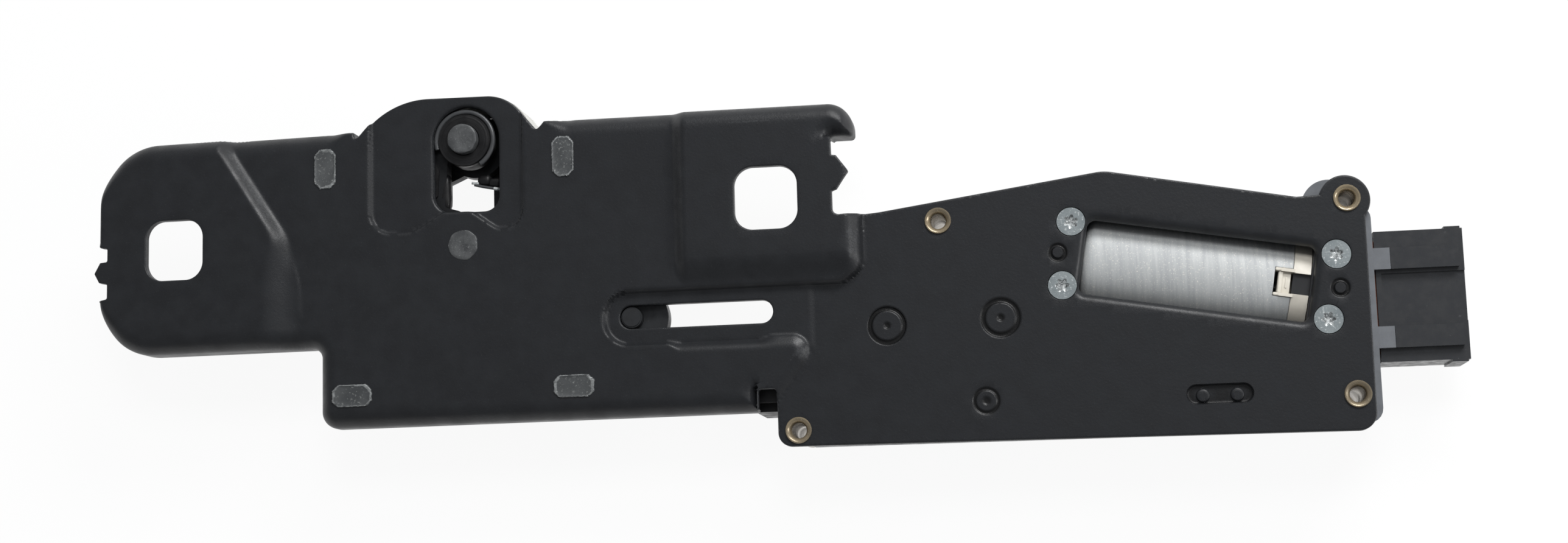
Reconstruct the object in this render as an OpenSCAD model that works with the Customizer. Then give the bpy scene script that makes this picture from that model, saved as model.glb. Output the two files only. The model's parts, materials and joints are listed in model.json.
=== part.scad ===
// Tailgate latch drive. A pressed steel carrier holds a rotary latch at its left and a geared motor at its right.
// A rack bar behind the carrier joins the two: it carries the pin that shows in the long slot.
// The part lies on its back, with +X to the connector, +Y up the carrier and +Z out of its front face.
// The origin is the centre of the inner square fixing hole, on the front face of the ear around it.

/* [Carrier sheet] */
// Thickness of the pressed sheet
sheet_t = 2.5; // [2:0.1:3]
// Step from the ear faces back to the plateau
ear_step = 3; // [2.7:0.1:3.6]
// Step from the ear faces back to the latch recess
recess_step = 4.5; // [4:0.1:5]
// Step from the ear faces back to the drive plate and the slot floor
drive_step = 5.5; // [5.2:0.1:6.5]
// Depth of the turned-down rim behind the plateau face
rim_depth = 9; // [6:0.5:11]

/* [Carrier outline] */
// Reach of the outer ear to the left of the origin
left_reach = 202.2; // [199:0.5:208]
// Height of the outer ear's top edge
ear_top = 25.8; // [24:0.2:28]
// Height of the plateau's top edge
plateau_top = 26.8; // [26:0.2:29]
// Drop of the outer ear's bottom edge
ear_bottom = 37.4; // [34:0.2:42]
// Reach of the plateau to the left of the origin
plateau_left = 134.8; // [134.5:0.2:138]
// Drop of the plateau's bottom edge
plateau_bottom = 61.3; // [60:0.2:64]
// Drop of the drive plate's bottom edge
drive_bottom = 72.4; // [72:0.2:76]
// Top of the dome over the latch
dome_top = 35.7; // [35.5:0.1:40]
// Height of the apex of the drive plate's top edge
drive_apex = 3.2; // [2:0.2:6]

/* [Fixing holes] */
// Width of the square fixing holes
square_hole = 18.4; // [16:0.2:20]
// Corner radius of the square fixing holes
square_hole_r = 5.5; // [3:0.5:7]
// Distance from the inner to the outer square hole
square_pitch = 177.8; // [176:0.2:180]
// Drop of the outer square hole
square_drop = 6.7; // [5:0.1:9]
// Bore of the four bush sleeves
bush_bore = 4.4; // [4.2:0.1:4.8]
// Outer diameter of the bush sleeves
bush_d = 6; // [5.8:0.1:6.4]
// Flange diameter of the bush sleeves
bush_flange = 7.6; // [7.2:0.1:8.4]

/* [Latch] */
// Position of the latch pivots along the carrier
latch_x = -90.4; // [-91.5:0.1:-89.5]
// Height of the catch pivot
catch_y = 22.8; // [22.2:0.1:23.4]
// Drop of the pawl pivot below the catch pivot
pawl_drop = 31.8; // [31.4:0.1:33]
// Diameter of the catch pivot pin
catch_pin_d = 8.6; // [8:0.1:9]
// Diameter of the pawl stud
pawl_pin_d = 8; // [7:0.1:8.4]
// Thickness of the catch and of the pawl
catch_t = 5; // [4:0.1:5.2]
// Swing of the catch from open to shut
catch_swing = 40.8; // [36:0.2:42]
// Wire diameter of the catch spring
catch_wire = 1.5; // [1.2:0.1:1.6]
// Thickness of the steel plate behind the latch
back_t = 3; // [2.5:0.1:3.5]
// Depth kept free behind the catch for the striker's loop
loop_room = 5; // [4:0.1:5.4]
// Thickness of the closing lever
lever_t = 4; // [3:0.1:4.4]
// Diameter of the closing lever's pin
lever_pin_d = 6; // [5:0.1:6.4]

/* [Slot and rack] */
// Width of the long slot
slot_w = 6.8; // [6.5:0.1:7.4]
// Drop of the slot's centre line
slot_drop = 32.4; // [32:0.1:33]
// Position of the slot pin at rest
slot_x = -41; // [-42:0.1:-40]
// Travel of the slot pin
stroke = 38.2; // [36:0.2:39]
// Diameter of the slot pin
slot_pin_d = 6.1; // [5.6:0.1:6.3]
// Radius of the round bar ends about the slot pin
bar_end_r = 10.4; // [9:0.1:10.8]
// Thickness of the rack and of the pull link
bar_t = 4.5; // [4:0.1:4.6]

/* [Gears] */
// Position of the output gear's axle along the carrier
output_x = 33.4; // [33:0.1:34.5]
// Drop of the output gear's axle
output_drop = 38.1; // [37.8:0.1:39]
// Module of the spur gears and the rack
spur_m = 1; // [0.98:0.005:1.01]
// Teeth of the output gear
output_teeth = 52; // [52]
// Teeth of the rack pinion on the output gear
rack_pinion_teeth = 24; // [24]
// Teeth of the pinion on the worm wheel
wheel_pinion_teeth = 13; // [13]
// Module of the worm wheel
wheel_m = 0.9; // [0.88:0.01:0.9]
// Teeth of the worm wheel
wheel_teeth = 34; // [34]
// Pitch radius of the worm
worm_r = 5.33; // [5.2:0.01:5.6]
// Diameter of the output gear's axle
output_axle_d = 6; // [5:0.1:7]
// Diameter of the worm wheel's axle
wheel_axle_d = 5; // [4:0.1:6]

/* [Motor] */
// Tilt of the motor axis, down to the right
motor_tilt = 10; // [9.8:0.1:10.4]
// Diameter of the motor can
can_d = 27.7; // [26:0.1:28.2]
// Length of the motor can
can_len = 59.1; // [56:0.1:60.4]
// Distance from the worm's middle to the can
can_start = 20.6; // [20.4:0.1:21]
// Diameter of the motor shaft
shaft_d = 3.2; // [2.6:0.1:3.6]
// Distance from the can's end to the carrier's right edge
edge_past_can = 20.65; // [20.4:0.05:22]
// Room between the can and the housing's floor
can_room = 0.5; // [0.3:0.1:3]
// Length of the window over the motor
window_len = 64.4; // [62:0.2:66]
// Width of the window over the motor
window_w = 21.4; // [20:0.2:23]

/* [Housing and connector] */
// Wall thickness of the gear housing
wall = 2.2; // [1.8:0.1:2.3]
// Length of the connector shell
plug_len = 25.7; // [24:0.2:30]
// Width of the connector shell
plug_w = 37.2; // [36:0.2:40]
// Height of the connector shell
plug_h = 16; // [14:0.2:18]
// Nominal diameter of the carrier screws
screw_d = 4; // [3.5:0.1:4.2]

/* [Hidden] */
$fn = 48;

// Clearance of a running fit, of a fixed fit and between neighbours
run_c = 0.05;
fix_c = 0.1;
near_c = 0.3;

// Levels of the sheet's front and rear faces
plateau_z = -ear_step;
recess_z = -recess_step;
drive_z = -drive_step;
ear_back = -sheet_t;
plateau_back = plateau_z - sheet_t;
recess_back = recess_z - sheet_t;
drive_back = drive_z - sheet_t;
rim_z = plateau_z - rim_depth;

// Layers behind the carrier
bar_top = drive_back - 0.6;
bar_low = bar_top - bar_t;
catch_top = drive_back - 0.2;
catch_low = catch_top - catch_t;
lever_top = min(catch_low, bar_low) - loop_room - 0.6;
lever_low = lever_top - lever_t;
back_top = lever_low - 1.6;
back_low = back_top - back_t;

// Latch places
catch_at = [latch_x, catch_y];
pawl_at = [latch_x, catch_y - pawl_drop];
slot_y = -slot_drop;
slot_at = [slot_x, slot_y];
lever_swing = catch_swing;
lever_reach = stroke / 2 / sin(lever_swing / 2);
lever_end = lever_reach * [-sin(lever_swing / 2), -cos(lever_swing / 2)];

// Drive places
output_at = [output_x, -output_drop];
wheel_at = output_at + spur_m * (output_teeth + wheel_pinion_teeth) / 2 * [cos(1.5), sin(1.5)];
post_at = [60.9, -60.8];
wheel_r = wheel_m * wheel_teeth / 2;
along = [cos(motor_tilt), -sin(motor_tilt)];
across = [sin(motor_tilt), cos(motor_tilt)];
worm_at = wheel_at + (wheel_r + worm_r) * across;
motor_z = drive_back - 0.6 - can_d / 2;
rest_z = motor_z - can_d / 2 - can_room - wall;
window_s = can_start + window_len / 2 + 0.2;
rack_line = output_at.y + spur_m * rack_pinion_teeth / 2;
can_end = can_start + can_len;
cap_len = 4.8;
front_s0 = can_start - 6.3;
rear_s0 = can_end + cap_len + 0.3;
screw_front_s = front_s0 + 1.8;
screw_rear_s = rear_s0 + 5.8;
screw_off = 9.25;
drive_right = on_motor(can_end).x + edge_past_can;

bushes = [[49.1, -8.5], [7, 5.3 - drive_bottom], [drive_right - 4.5, -7.8], [drive_right - 4.8, 9.4 - drive_bottom]];
upright_tenons = [[-132.4, 15.9], [-60.1, 15.9]];
level_tenons = [[-124.3, -52.1], [-57.8, -51.9]];
tenon_len = 9;
tenon_w = 4;
housing_right = drive_right + 2;
plug_y = -35.1;
plug_z = -22.5;

// A point given along and across the motor axis, from the middle of the worm
function on_motor(s, off = 0) = worm_at + s * along + off * across;

function unit(v) = v / norm(v);
function left_of(v) = [-v.y, v.x];
function turned(p, a) = [p.x * cos(a) - p.y * sin(a), p.x * sin(a) + p.y * cos(a)];

// One rounded corner at b, between a and c, as points along its arc
function corner(a, b, c, r, steps) =
    let (u = unit(a - b), w = unit(c - b), half = acos(min(1, max(-1, u * w))) / 2,
         mid = b + unit(u + w) * r / sin(half),
         p = b + u * r / tan(half) - mid, q = b + w * r / tan(half) - mid,
         start = atan2(p.y, p.x), sweep = atan2(p.x * q.y - p.y * q.x, p * q))
    [for (i = [0 : steps]) mid + r * [cos(start + sweep * i / steps), sin(start + sweep * i / steps)]];

// An outline from [x, y, corner radius] points
function rounded(pts, steps = 5) =
    [for (i = [0 : len(pts) - 1])
        let (n = len(pts), a = pts[(i + n - 1) % n], b = pts[i], c = pts[(i + 1) % n])
        each b.z > 0 ? corner([a.x, a.y], [b.x, b.y], [c.x, c.y], b.z, steps) : [[b.x, b.y]]];

// The same counter-clockwise outline moved outwards by d, or inwards where d is negative
function grown(pts, d) =
    [for (i = [0 : len(pts) - 1])
        let (n = len(pts), a = pts[(i + n - 1) % n], b = pts[i], c = pts[(i + 1) % n],
             u = unit([b.x - a.x, b.y - a.y]), w = unit([c.x - b.x, c.y - b.y]),
             turn = u.x * w.y - u.y * w.x, out = -(left_of(u) + left_of(w)) / (1 + u * w) * d)
        [b.x + out.x, b.y + out.y, b.z > 0 ? max(0.3, b.z + (turn > 0 ? d : -d)) : 0]];

// The outline of a bent bar of width w along its path, with its ends w / 2 past the path's
function bar_side(path, d) =
    [for (i = [0 : len(path) - 1])
        let (last = len(path) - 1, u = unit(path[min(i, last - 1) + 1] - path[min(i, last - 1)]),
             v = unit(path[max(i, 1)] - path[max(i, 1) - 1]), end = i == 0 ? -u : i == last ? v : [0, 0])
        path[i] + (left_of(u) + left_of(v)) / (1 + u * v) * d + end * abs(d)];
function bar_outline(path, w, r) =
    let (a = bar_side(path, -w / 2), b = bar_side(path, w / 2), last = len(path) - 1)
    concat([for (i = [0 : last]) [a[i].x, a[i].y, i == 0 || i == last ? w / 2 - 0.1 : r]],
           [for (i = [last : -1 : 0]) [b[i].x, b[i].y, i == 0 || i == last ? w / 2 - 0.1 : r]]);

// Half the angle of a gear tooth at radius rho, by the involute of a 20 degree gear
function involute(a) = tan(a) * 180 / PI - a;
function tooth_half(rho, m, z, play) =
    let (r = m * z / 2, base = r * cos(20), at = acos(min(1, base / rho)))
    90 / z - play / r * 90 / PI + involute(20) - involute(at);
function gear_points(m, z, play) =
    let (r = m * z / 2, radii = [r - 1.2 * m, max(r - 0.6 * m, r * cos(20)), r, r + 0.5 * m, r + 0.95 * m])
    [for (i = [0 : z - 1])
        let (mid = 360 * i / z)
        each concat(
            [for (rho = radii) rho * [cos(mid - tooth_half(rho, m, z, play)), sin(mid - tooth_half(rho, m, z, play))]],
            [for (k = [4 : -1 : 0])
                let (rho = radii[k], h = tooth_half(rho, m, z, play)) rho * [cos(mid + h), sin(mid + h)]])];

module slab(pts, z0, z1) {
    translate([0, 0, z0])
        linear_extrude(z1 - z0)
            polygon(rounded(pts));
}

module round_bar(at, d, z0, z1) {
    translate([at.x, at.y, z0])
        cylinder(h = z1 - z0, d = d);
}

module block(low, high) {
    translate(low)
        cube(high - low);
}

// A straight bar with round ends, seen from the front
module stadium(a, b, d, z0, z1) {
    round_bar(a, d, z0, z1);
    round_bar(b, d, z0, z1);
    translate([a.x, a.y, z0])
        rotate(atan2(b.y - a.y, b.x - a.x))
            translate([0, -d / 2, 0])
                cube([norm(b - a), d, z1 - z0]);
}

// Shapes along the motor axis: the child's Z becomes the axis, from the middle of the worm
module on_axis(s) {
    translate([worm_at.x, worm_at.y, motor_z])
        rotate([0, 90, -motor_tilt])
            translate([0, 0, s])
                children();
}

// A block given along, across and by height on the motor axis
module motor_block(s0, s1, off0, off1, z0, z1) {
    translate([worm_at.x, worm_at.y, 0])
        rotate(-motor_tilt)
            block([s0, off0, z0], [s1, off1, z1]);
}

// A round wire or lead along its points
module wire(path, d, sides = 8) {
    n = len(path);
    rings = [for (i = [0 : n - 1])
        let (t = unit(path[min(i + 1, n - 1)] - path[max(i - 1, 0)]),
             side = unit(cross(t, abs(t.z) > 0.9 ? [1, 0, 0] : [0, 0, 1])), up = cross(t, side))
        for (k = [0 : sides - 1]) path[i] + d / 2 * (cos(360 * k / sides) * side + sin(360 * k / sides) * up)];
    walls = [for (i = [0 : n - 2]) for (k = [0 : sides - 1])
        let (a = i * sides + k, b = i * sides + (k + 1) % sides)
        each [[a, a + sides, b + sides], [a, b + sides, b]]];
    first = [for (k = [1 : sides - 2]) [0, k, k + 1]];
    last = [for (k = [1 : sides - 2]) [(n - 1) * sides, (n - 1) * sides + k + 1, (n - 1) * sides + k]];
    polyhedron(rings, concat(walls, first, last), convexity = 6);
}

// Outlines of the carrier and of its pressed levels, counter-clockwise
carrier_outline = [
    [-left_reach, -ear_bottom, 15.2], [-plateau_left, -ear_bottom, 3], [-plateau_left, -plateau_bottom, 5],
    [-4, -plateau_bottom, 1], [-4, -55.1, 0.8], [1.1, -55.1, 0.8],
    [1.1, -drive_bottom + 0.8, 4], [drive_right, -drive_bottom - 0.8, 5], [drive_right + 0.6, -8.3, 0],
    [drive_right - 18.3, -6.6, 3], [99.3, drive_apex, 14], [32, -5.6, 15], [19.2, -6.2, 1.5],
    [19.2, 1.2, 0.6], [24, 6.7, 1], [19.3, 11.4, 0.6], [19.2, 17.6, 0.8], [25.6, 17.6, 1.2],
    [25.6, plateau_top - 0.1, 7.5], [-66.3, plateau_top, 1.2], [-68.2, 24.2, 0.8],
    [-76.2, dome_top, 12], [-110.6, dome_top - 0.3, 28], [-122.7, ear_top - 1.6, 0.6],
    [-123.6, ear_top + 1, 0.6], [-left_reach, ear_top - 0.3, 17],
    [-left_reach, -4.9, 0.5], [-left_reach + 3.2, -5.3, 0.5], [-left_reach + 3.2, -9.3, 0.5],
    [-left_reach - 1.1, -12.7, 0.8],
    [-left_reach + 3.2, -16, 0.5], [-left_reach + 3.2, -20.4, 0.6], [-left_reach, -20.9, 0.6]
];
outer_ear = [
    [-161, 60, 0], [-left_reach - 20, 60, 0], [-left_reach - 20, -80, 0],
    [-140, -80, 0], [-140.2, -18, 20], [-144.6, -3, 12], [-161, 24, 0]
];
slot_recess_r = 7.75;
inner_ear = [
    [-27.8, 60, 0], [-27.8, slot_y + slot_recess_r, 5], [27.5, slot_y + slot_recess_r, 5], [27.5, 60, 0]
];
rim_outline = [
    [-left_reach, -ear_bottom, 15.2], [-plateau_left, -ear_bottom, 3], [-plateau_left, -plateau_bottom, 5],
    [25.6, -plateau_bottom, 0], [25.6, plateau_top - 0.1, 7.5], [-66.3, plateau_top, 0],
    [-123.6, ear_top + 1, 0], [-left_reach, ear_top - 0.3, 17]
];
latch_recess = [
    [-119.2, 60, 0], [-119.2, -5.2, 7], [-105, -4.7, 9], [-96, 0.9, 5], [-88.5, 0.9, 5],
    [-80.4, -5, 5], [-72, -5, 6], [-72, 60, 0]
];
drive_floor = [
    [24, 60, 0], [24, slot_y + slot_recess_r + 3, 0], [-4, slot_y + slot_recess_r + 3, 0],
    [-4, slot_y + slot_recess_r, 0], [slot_x - slot_recess_r, slot_y + slot_recess_r, slot_recess_r - 0.1],
    [slot_x - slot_recess_r, slot_y - slot_recess_r - 0.9, slot_recess_r - 0.1], [11.6, slot_y - slot_recess_r - 0.9, 1],
    [11.6, -46.3, 4], [1.8, -58.5, 5], [-8, -60, 0], [-8, -90, 0], [200, -90, 0], [200, 60, 0]
];
drive_area = [
    [-5, -90, 0], [200, -90, 0], [200, 20, 0], [28, 20, 0], [28, -1, 0], [13, -1, 0], [13, -26, 0],
    [3, -26, 0], [3, -54, 0], [-5, -54, 0]
];
aperture_half = 9.9;
aperture_bottom = 1.1;
latch_aperture = [
    [latch_x - aperture_half, aperture_bottom, 5], [latch_x + aperture_half + 0.5, aperture_bottom, 4],
    [latch_x + aperture_half + 0.5, catch_y + 10.4, 9.8], [latch_x - aperture_half - 0.3, catch_y + 10.4, 9.8]
];
tenon_head = [[-3.2, -4.2, 1], [-1.6, -5.85, 1], [1.6, -5.85, 1], [3.2, -4.2, 1],
    [3.2, 4.2, 1], [1.6, 5.85, 1], [-1.6, 5.85, 1], [-3.2, 4.2, 1]];

// A tenon and its peened head, the same for its hole where grow is positive
module tenon(at, angle, z0, grow) {
    translate([at.x, at.y, 0])
        rotate(angle) {
            block([-tenon_w / 2 - grow, -tenon_len / 2 - grow, z0], [tenon_w / 2 + grow, tenon_len / 2 + grow, plateau_z - 0.5]);
            slab(grown(tenon_head, grow), plateau_z - 0.9 - grow, plateau_z + (grow > 0 ? 1 : 0.15));
        }
}

module every_tenon(z0, grow) {
    for (at = upright_tenons)
        tenon(at, 0, z0, grow);
    for (at = level_tenons)
        tenon(at, 90, z0, grow);
}

module square_cut(at) {
    h = square_hole / 2;
    translate([at.x, at.y, 0])
        slab([[-h, -h, square_hole_r], [h, -h, square_hole_r], [h, h, square_hole_r], [-h, h, square_hole_r]],
             rim_z, 1);
}

// The material in front of each level, and the space behind it
module pressed_fronts() {
    reach = left_reach + drive_right;
    difference() {
        union() {
            block([-reach, -reach, plateau_z], [reach, reach, 1]);
            slab(latch_recess, recess_z, plateau_z + 0.5);
            slab(drive_floor, drive_z, plateau_z + 0.5);
        }
        slab(outer_ear, drive_z - 1, 2);
        slab(inner_ear, drive_z - 1, 2);
    }
}

module pressed_backs() {
    inside = grown(rim_outline, -sheet_t);
    slab(inside, rim_z - 1, drive_back);
    slab(drive_area, rim_z - 1, drive_back);
    block([-123.6, 18, rim_z - 1], [-66.2, 60, drive_back]);
    difference() {
        slab(inside, drive_back - 0.5, recess_back);
        slab(grown(drive_floor, sheet_t), drive_back - 1, 0);
    }
    difference() {
        slab(inside, recess_back - 0.5, plateau_back);
        slab(grown(drive_floor, sheet_t), drive_back - 1, 0);
        slab(grown(latch_recess, sheet_t), drive_back - 1, 0);
    }
    intersection() {
        slab(inside, drive_back - 0.5, ear_back);
        union() {
            slab(grown(outer_ear, -sheet_t), rim_z, 0);
            slab(grown(inner_ear, -sheet_t), rim_z, 0);
        }
    }
}

module carrier_plate() {
    color("#2d2f32")
        difference() {
            union() {
                slab(carrier_outline, rim_z, 0);
                round_bar([drive_right - 5.1, -8.3], 14.2, rim_z, 0);
            }
            pressed_fronts();
            pressed_backs();
            square_cut([0, 0]);
            square_cut([-square_pitch, -square_drop]);
            slab(latch_aperture, drive_back - 1, 0);
            stadium(slot_at, slot_at + [stroke, 0], slot_w, drive_back - 1, 0);
            window();
            every_tenon(drive_back, fix_c);
            round_bar(pawl_at, pawl_pin_d + 2 * fix_c, drive_back - 1, 0);
            round_bar(pawl_at, pawl_pin_d + 0.7 + 2 * fix_c, plateau_z - 0.8, 0);
            for (at = bushes)
                round_bar(at, bush_d + 2 * fix_c, drive_back - 1, 0);
            for (s = [screw_front_s, screw_rear_s], off = [-screw_off, screw_off])
                screw_cut(on_motor(s, off));
            stamped_marks();
        }
}

module window() {
    w = window_len / 2;
    h = window_w / 2;
    translate([on_motor(window_s).x, on_motor(window_s).y, 0])
        rotate(-motor_tilt)
            slab([[-w, -h, 2], [w, -h, 2], [w, h, 2.5], [-w, h, 2.5]], drive_back - 1, 0);
}

// A countersunk hole for a carrier screw
screw_head_d = 2 * screw_d + 0.2;
module screw_cut(at) {
    round_bar(at, screw_d + 2 * fix_c, drive_back - 1, 0);
    translate([at.x, at.y, drive_z - 2.1])
        cylinder(h = 2.1, d1 = screw_d + 2 * fix_c, d2 = screw_head_d + 2 * fix_c);
    round_bar(at, screw_head_d + 2 * fix_c, drive_z - 0.001, 0);
}

// Ring marks left where the axles are located, and the small oval pocket
module ring_mark(at, d, width, deep) {
    difference() {
        round_bar(at, d, drive_z - deep, 0);
        round_bar(at, d - 2 * width, drive_z - deep - 1, 1);
    }
}

pocket_at = [drive_right - 42.5, -61.4];
module stamped_marks() {
    ring_mark(output_at, 10.6, 1, 0.5);
    ring_mark(wheel_at, 11, 1.2, 0.5);
    ring_mark(post_at, 7.2, 0.7, 0.4);
    ring_mark(on_motor(screw_front_s - 2.5), 4.6, 0.6, 0.4);
    ring_mark(on_motor(screw_rear_s + 2.2), 4.6, 0.6, 0.4);
    difference() {
        stadium(pocket_at - [6.5, 0], pocket_at + [6.5, 0], 5.3, drive_z - 0.9, 0);
        for (x = [-4.7, 4.8])
            round_bar(pocket_at + [x, -0.3], 3.6, drive_z - 2, drive_z - 0.2);
    }
}

// Rear plate of the latch with the four legs that are peened into the carrier
back_outline = [
    [-128, -54.1, 3], [-52.3, -54.1, 3], [-52.3, -48, 2], [-58.1, -42, 3], [-58.1, 21.4, 3], [-74, 21.4, 2],
    [-76, 33, 8], [-111, 33, 8], [-113, 21.4, 2], [-134.4, 21.4, 3], [-134.4, -42, 3], [-128, -48, 2]
];
striker_half = 11.2;
striker_hole = [
    [latch_x - striker_half, aperture_bottom, 3], [latch_x + 3.9, aperture_bottom, 2],
    [latch_x + 3.9, catch_y - 11.1, 1], [latch_x - 1.4, catch_y - 7.6, 1], [latch_x - striker_half, catch_y - 6.2, 3]
];
module latch_back_plate() {
    color("#3a3c3f")
        difference() {
            union() {
                slab(back_outline, back_low, back_top);
                for (at = upright_tenons)
                    block([at.x - tenon_w / 2, at.y - 5.5, back_top - 0.5], [at.x + tenon_w / 2, at.y + 5.5, plateau_back]);
                for (at = level_tenons)
                    block([at.x - 5.5, at.y - tenon_w / 2, back_top - 0.5], [at.x + 5.5, at.y + tenon_w / 2, plateau_back]);
                every_tenon(plateau_back - 0.5, 0);
            }
            slab(striker_hole, back_low - 1, back_top + 1);
            round_bar(catch_at, catch_pin_d + 2 * run_c, back_low - 1, back_top + 1);
            for (at = cover_screws)
                round_bar(at, 3, back_low - 1, back_top + 1);
        }
}

// Pale plastic frame between the two plates, round the top of the latch
frame_outline = [
    [-121, -6, 2], [-69.8, -6, 2], [-69.8, 24.8, 3], [-75.7, dome_top, 11], [-109.8, dome_top - 1.4, 24],
    [-121, 22.4, 4]
];
module latch_frame() {
    inner = grown(frame_outline, -wall);
    color("#bdbdb8")
        difference() {
            slab(frame_outline, back_top, drive_back);
            slab(inner, back_top - 1, drive_back + 1);
            block([-118.8, -20, back_top - 1], [-72, 0, drive_back + 1]);
        }
}

// Plastic cover behind the lower half of the latch
cover_outline = [[-126, -50, 4], [-62, -50, 4], [-62, -3, 4], [-126, -3, 4]];
cover_screws = [[-120.5, -44.5], [-67.5, -44.5], [-120.5, -8.5], [-67.5, -8.5]];
module latch_rear_cover() {
    color("#26282a")
        difference() {
            union() {
                difference() {
                    slab(cover_outline, rest_z, back_low);
                    slab(grown(cover_outline, -wall), rest_z + wall, back_low + 1);
                }
                for (at = cover_screws)
                    round_bar(at, 7, rest_z + 0.5, back_low);
            }
            for (at = cover_screws) {
                round_bar(at, 3.2, rest_z, back_low + 1);
                round_bar(at, 5.8, rest_z - 1, rest_z + 3);
            }
            translate([-66, lead_y, lead_z])
                rotate([0, 90, 0])
                    cylinder(h = 8, d = lead_d + 2 * fix_c);
        }
}

module latch_cover_screws() {
    color("#8d9496")
        for (at = cover_screws)
            difference() {
                union() {
                    round_bar(at, 5.4, rest_z + 1, rest_z + 3);
                    round_bar(at, 2.9, rest_z + 2.5, back_top - 0.2);
                }
                round_bar(at, 2.2, rest_z + 0.5, rest_z + 2);
            }
}

module catch_pivot_pin() {
    color("#505355")
        union() {
            round_bar(catch_at, catch_pin_d - 0.8, recess_z - 0.4, recess_z + 2);
            round_bar(catch_at, catch_pin_d, back_low - 0.5, recess_z - 0.3);
            round_bar(catch_at, catch_pin_d + 3.4, back_low - 1.8, back_low);
        }
}

module pawl_pivot_stud() {
    color("#505355")
        union() {
            round_bar(pawl_at, pawl_pin_d + 0.7, plateau_z - 0.7, plateau_z + 0.1);
            round_bar(pawl_at, pawl_pin_d, catch_low - 0.3, plateau_z - 0.5);
            difference() {
                round_bar(pawl_at, pawl_pin_d + 3, catch_top + run_c, plateau_back);
                round_bar(pawl_at, pawl_pin_d - 1, catch_top - 1, plateau_back + 1);
            }
            round_bar(pawl_at, pawl_pin_d + 3, catch_low - 0.6, catch_low - run_c);
        }
}

// The catch, with its arm to the left of the striker while open
arm_out = -19.2;
catch_arm = [
    [-5.5, -2, 0], [-7, 3, 1.4], [-10.5, -1, 2], [arm_out, -13, 1], [arm_out, -14.8, 0.6], [-16.8, -17.4, 0.8],
    [-15, -16.6, 1], [-10, -20.3, 4], [-2.8, -22.6, 0.8], [-1.8, -20.9, 0.6], [-6.9, -19.4, 1], [-6, -6, 2]
];
hub_d = 15.4;
module rotary_catch() {
    color("#3b3d40")
        translate([catch_at.x, catch_at.y, catch_low])
            difference() {
                union() {
                    cylinder(h = catch_t, d = hub_d);
                    slab(catch_arm, 0, catch_t);
                }
                translate([0, 0, -1])
                    cylinder(h = catch_t + 2, d = catch_pin_d + 2 * run_c);
            }
}

// Plastic hub ring and bumper that are moulded on the catch
module catch_jacket() {
    color("#1c1d1f")
        translate([catch_at.x, catch_at.y, catch_top]) {
            difference() {
                cylinder(h = recess_z - 0.5 - catch_top, d = hub_d);
                translate([0, 0, -1])
                    cylinder(h = 20, d = catch_pin_d + 0.8);
            }
            slab([[-12, -3, 2], [-14.6, -11, 3], [-12.6, -15.6, 2], [-8.9, -17, 1], [-8.4, -8, 2]], 0, 0.8);
        }
}

spring_r = hub_d / 2 + 0.25 + catch_wire / 2;
spring_turns = 1.05;
spring_start = 205;
spring_pitch = catch_wire + 0.1;
spring_top = recess_z - 0.4 - catch_wire / 2;
module catch_spring() {
    steps = 40;
    coil = [for (i = [0 : steps])
        let (a = spring_start - 360 * spring_turns * i / steps)
        [catch_at.x + spring_r * cos(a), catch_at.y + spring_r * sin(a),
         spring_top - spring_pitch * spring_turns * (1 - i / steps)]];
    color("#5b5d60")
        wire(coil, catch_wire);
}

// The pawl rides just outside the sweep of the catch
pawl_hub_d = 12.6;
pawl_shape = [
    [-5, 2, 0], [-9.7, 5.4, 1], [-7.4, 8, 0.8], [-4.6, 5.2, 2], [3, 3, 0], [14.5, -1, 2], [14.5, -6, 2],
    [4, -5, 2], [-3, -5, 0]
];
module pawl() {
    color("#46484b")
        translate([pawl_at.x, pawl_at.y, catch_low])
            difference() {
                union() {
                    cylinder(h = catch_t, d = pawl_hub_d);
                    slab([for (i = [len(pawl_shape) - 1 : -1 : 0]) pawl_shape[i]], 0, catch_t);
                }
                translate([0, 0, -1])
                    cylinder(h = catch_t + 2, d = pawl_pin_d + 2 * run_c);
            }
}

// Leg spring round the pawl stud's shoulder
module pawl_spring() {
    steps = 32;
    r = (pawl_pin_d + 3) / 2 + 0.7;
    coil = [for (i = [0 : steps])
        let (a = 60 + 400 * i / steps)
        [pawl_at.x + r * cos(a), pawl_at.y + r * sin(a), catch_top + 0.75 + 0.85 * i / steps]];
    color("#6c6f72")
        wire(coil, 0.8, 6);
}

// Cranked lever that swings with the catch and keeps clear of the striker
lever_elbow = [-20.5, -9];
drive_lug = [-16.5, -5.2];
module closing_lever() {
    color("#3f4245")
        translate([catch_at.x, catch_at.y, lever_low])
            difference() {
                union() {
                    cylinder(h = lever_t, d = 18);
                    slab(bar_outline([[0, 0], lever_elbow, lever_end], 12, 5), 0, lever_t);
                    round_bar(drive_lug, 4, 0, catch_top - lever_low - 0.4);
                }
                translate([0, 0, -1])
                    cylinder(h = lever_t + 2, d = catch_pin_d + 2 * run_c);
                round_bar(lever_end, lever_pin_d + 2 * run_c, -1, lever_t + 1);
            }
}

module closing_lever_pin() {
    color("#8d9496")
        union() {
            round_bar(catch_at + lever_end, lever_pin_d, lever_low, bar_top - 0.2);
            round_bar(catch_at + lever_end, lever_pin_d + 3, lever_low - 1.2, lever_low);
        }
}

// Two small switches: one senses the open catch, one the pawl's tail
module micro_switch(low, high, plunger_from, plunger_to) {
    mid_y = (low.y + high.y) / 2;
    mid_z = (low.z + high.z) / 2;
    block(low, high);
    block([min(plunger_from, plunger_to), mid_y - 1.2, mid_z - 0.9], [max(plunger_from, plunger_to), mid_y + 1.2, mid_z + 0.9]);
}

module catch_switch() {
    color("#1f2123")
        micro_switch([-118.7, 3, catch_low], [-113, 16, recess_back], -113.5, -110.3);
}

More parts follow.
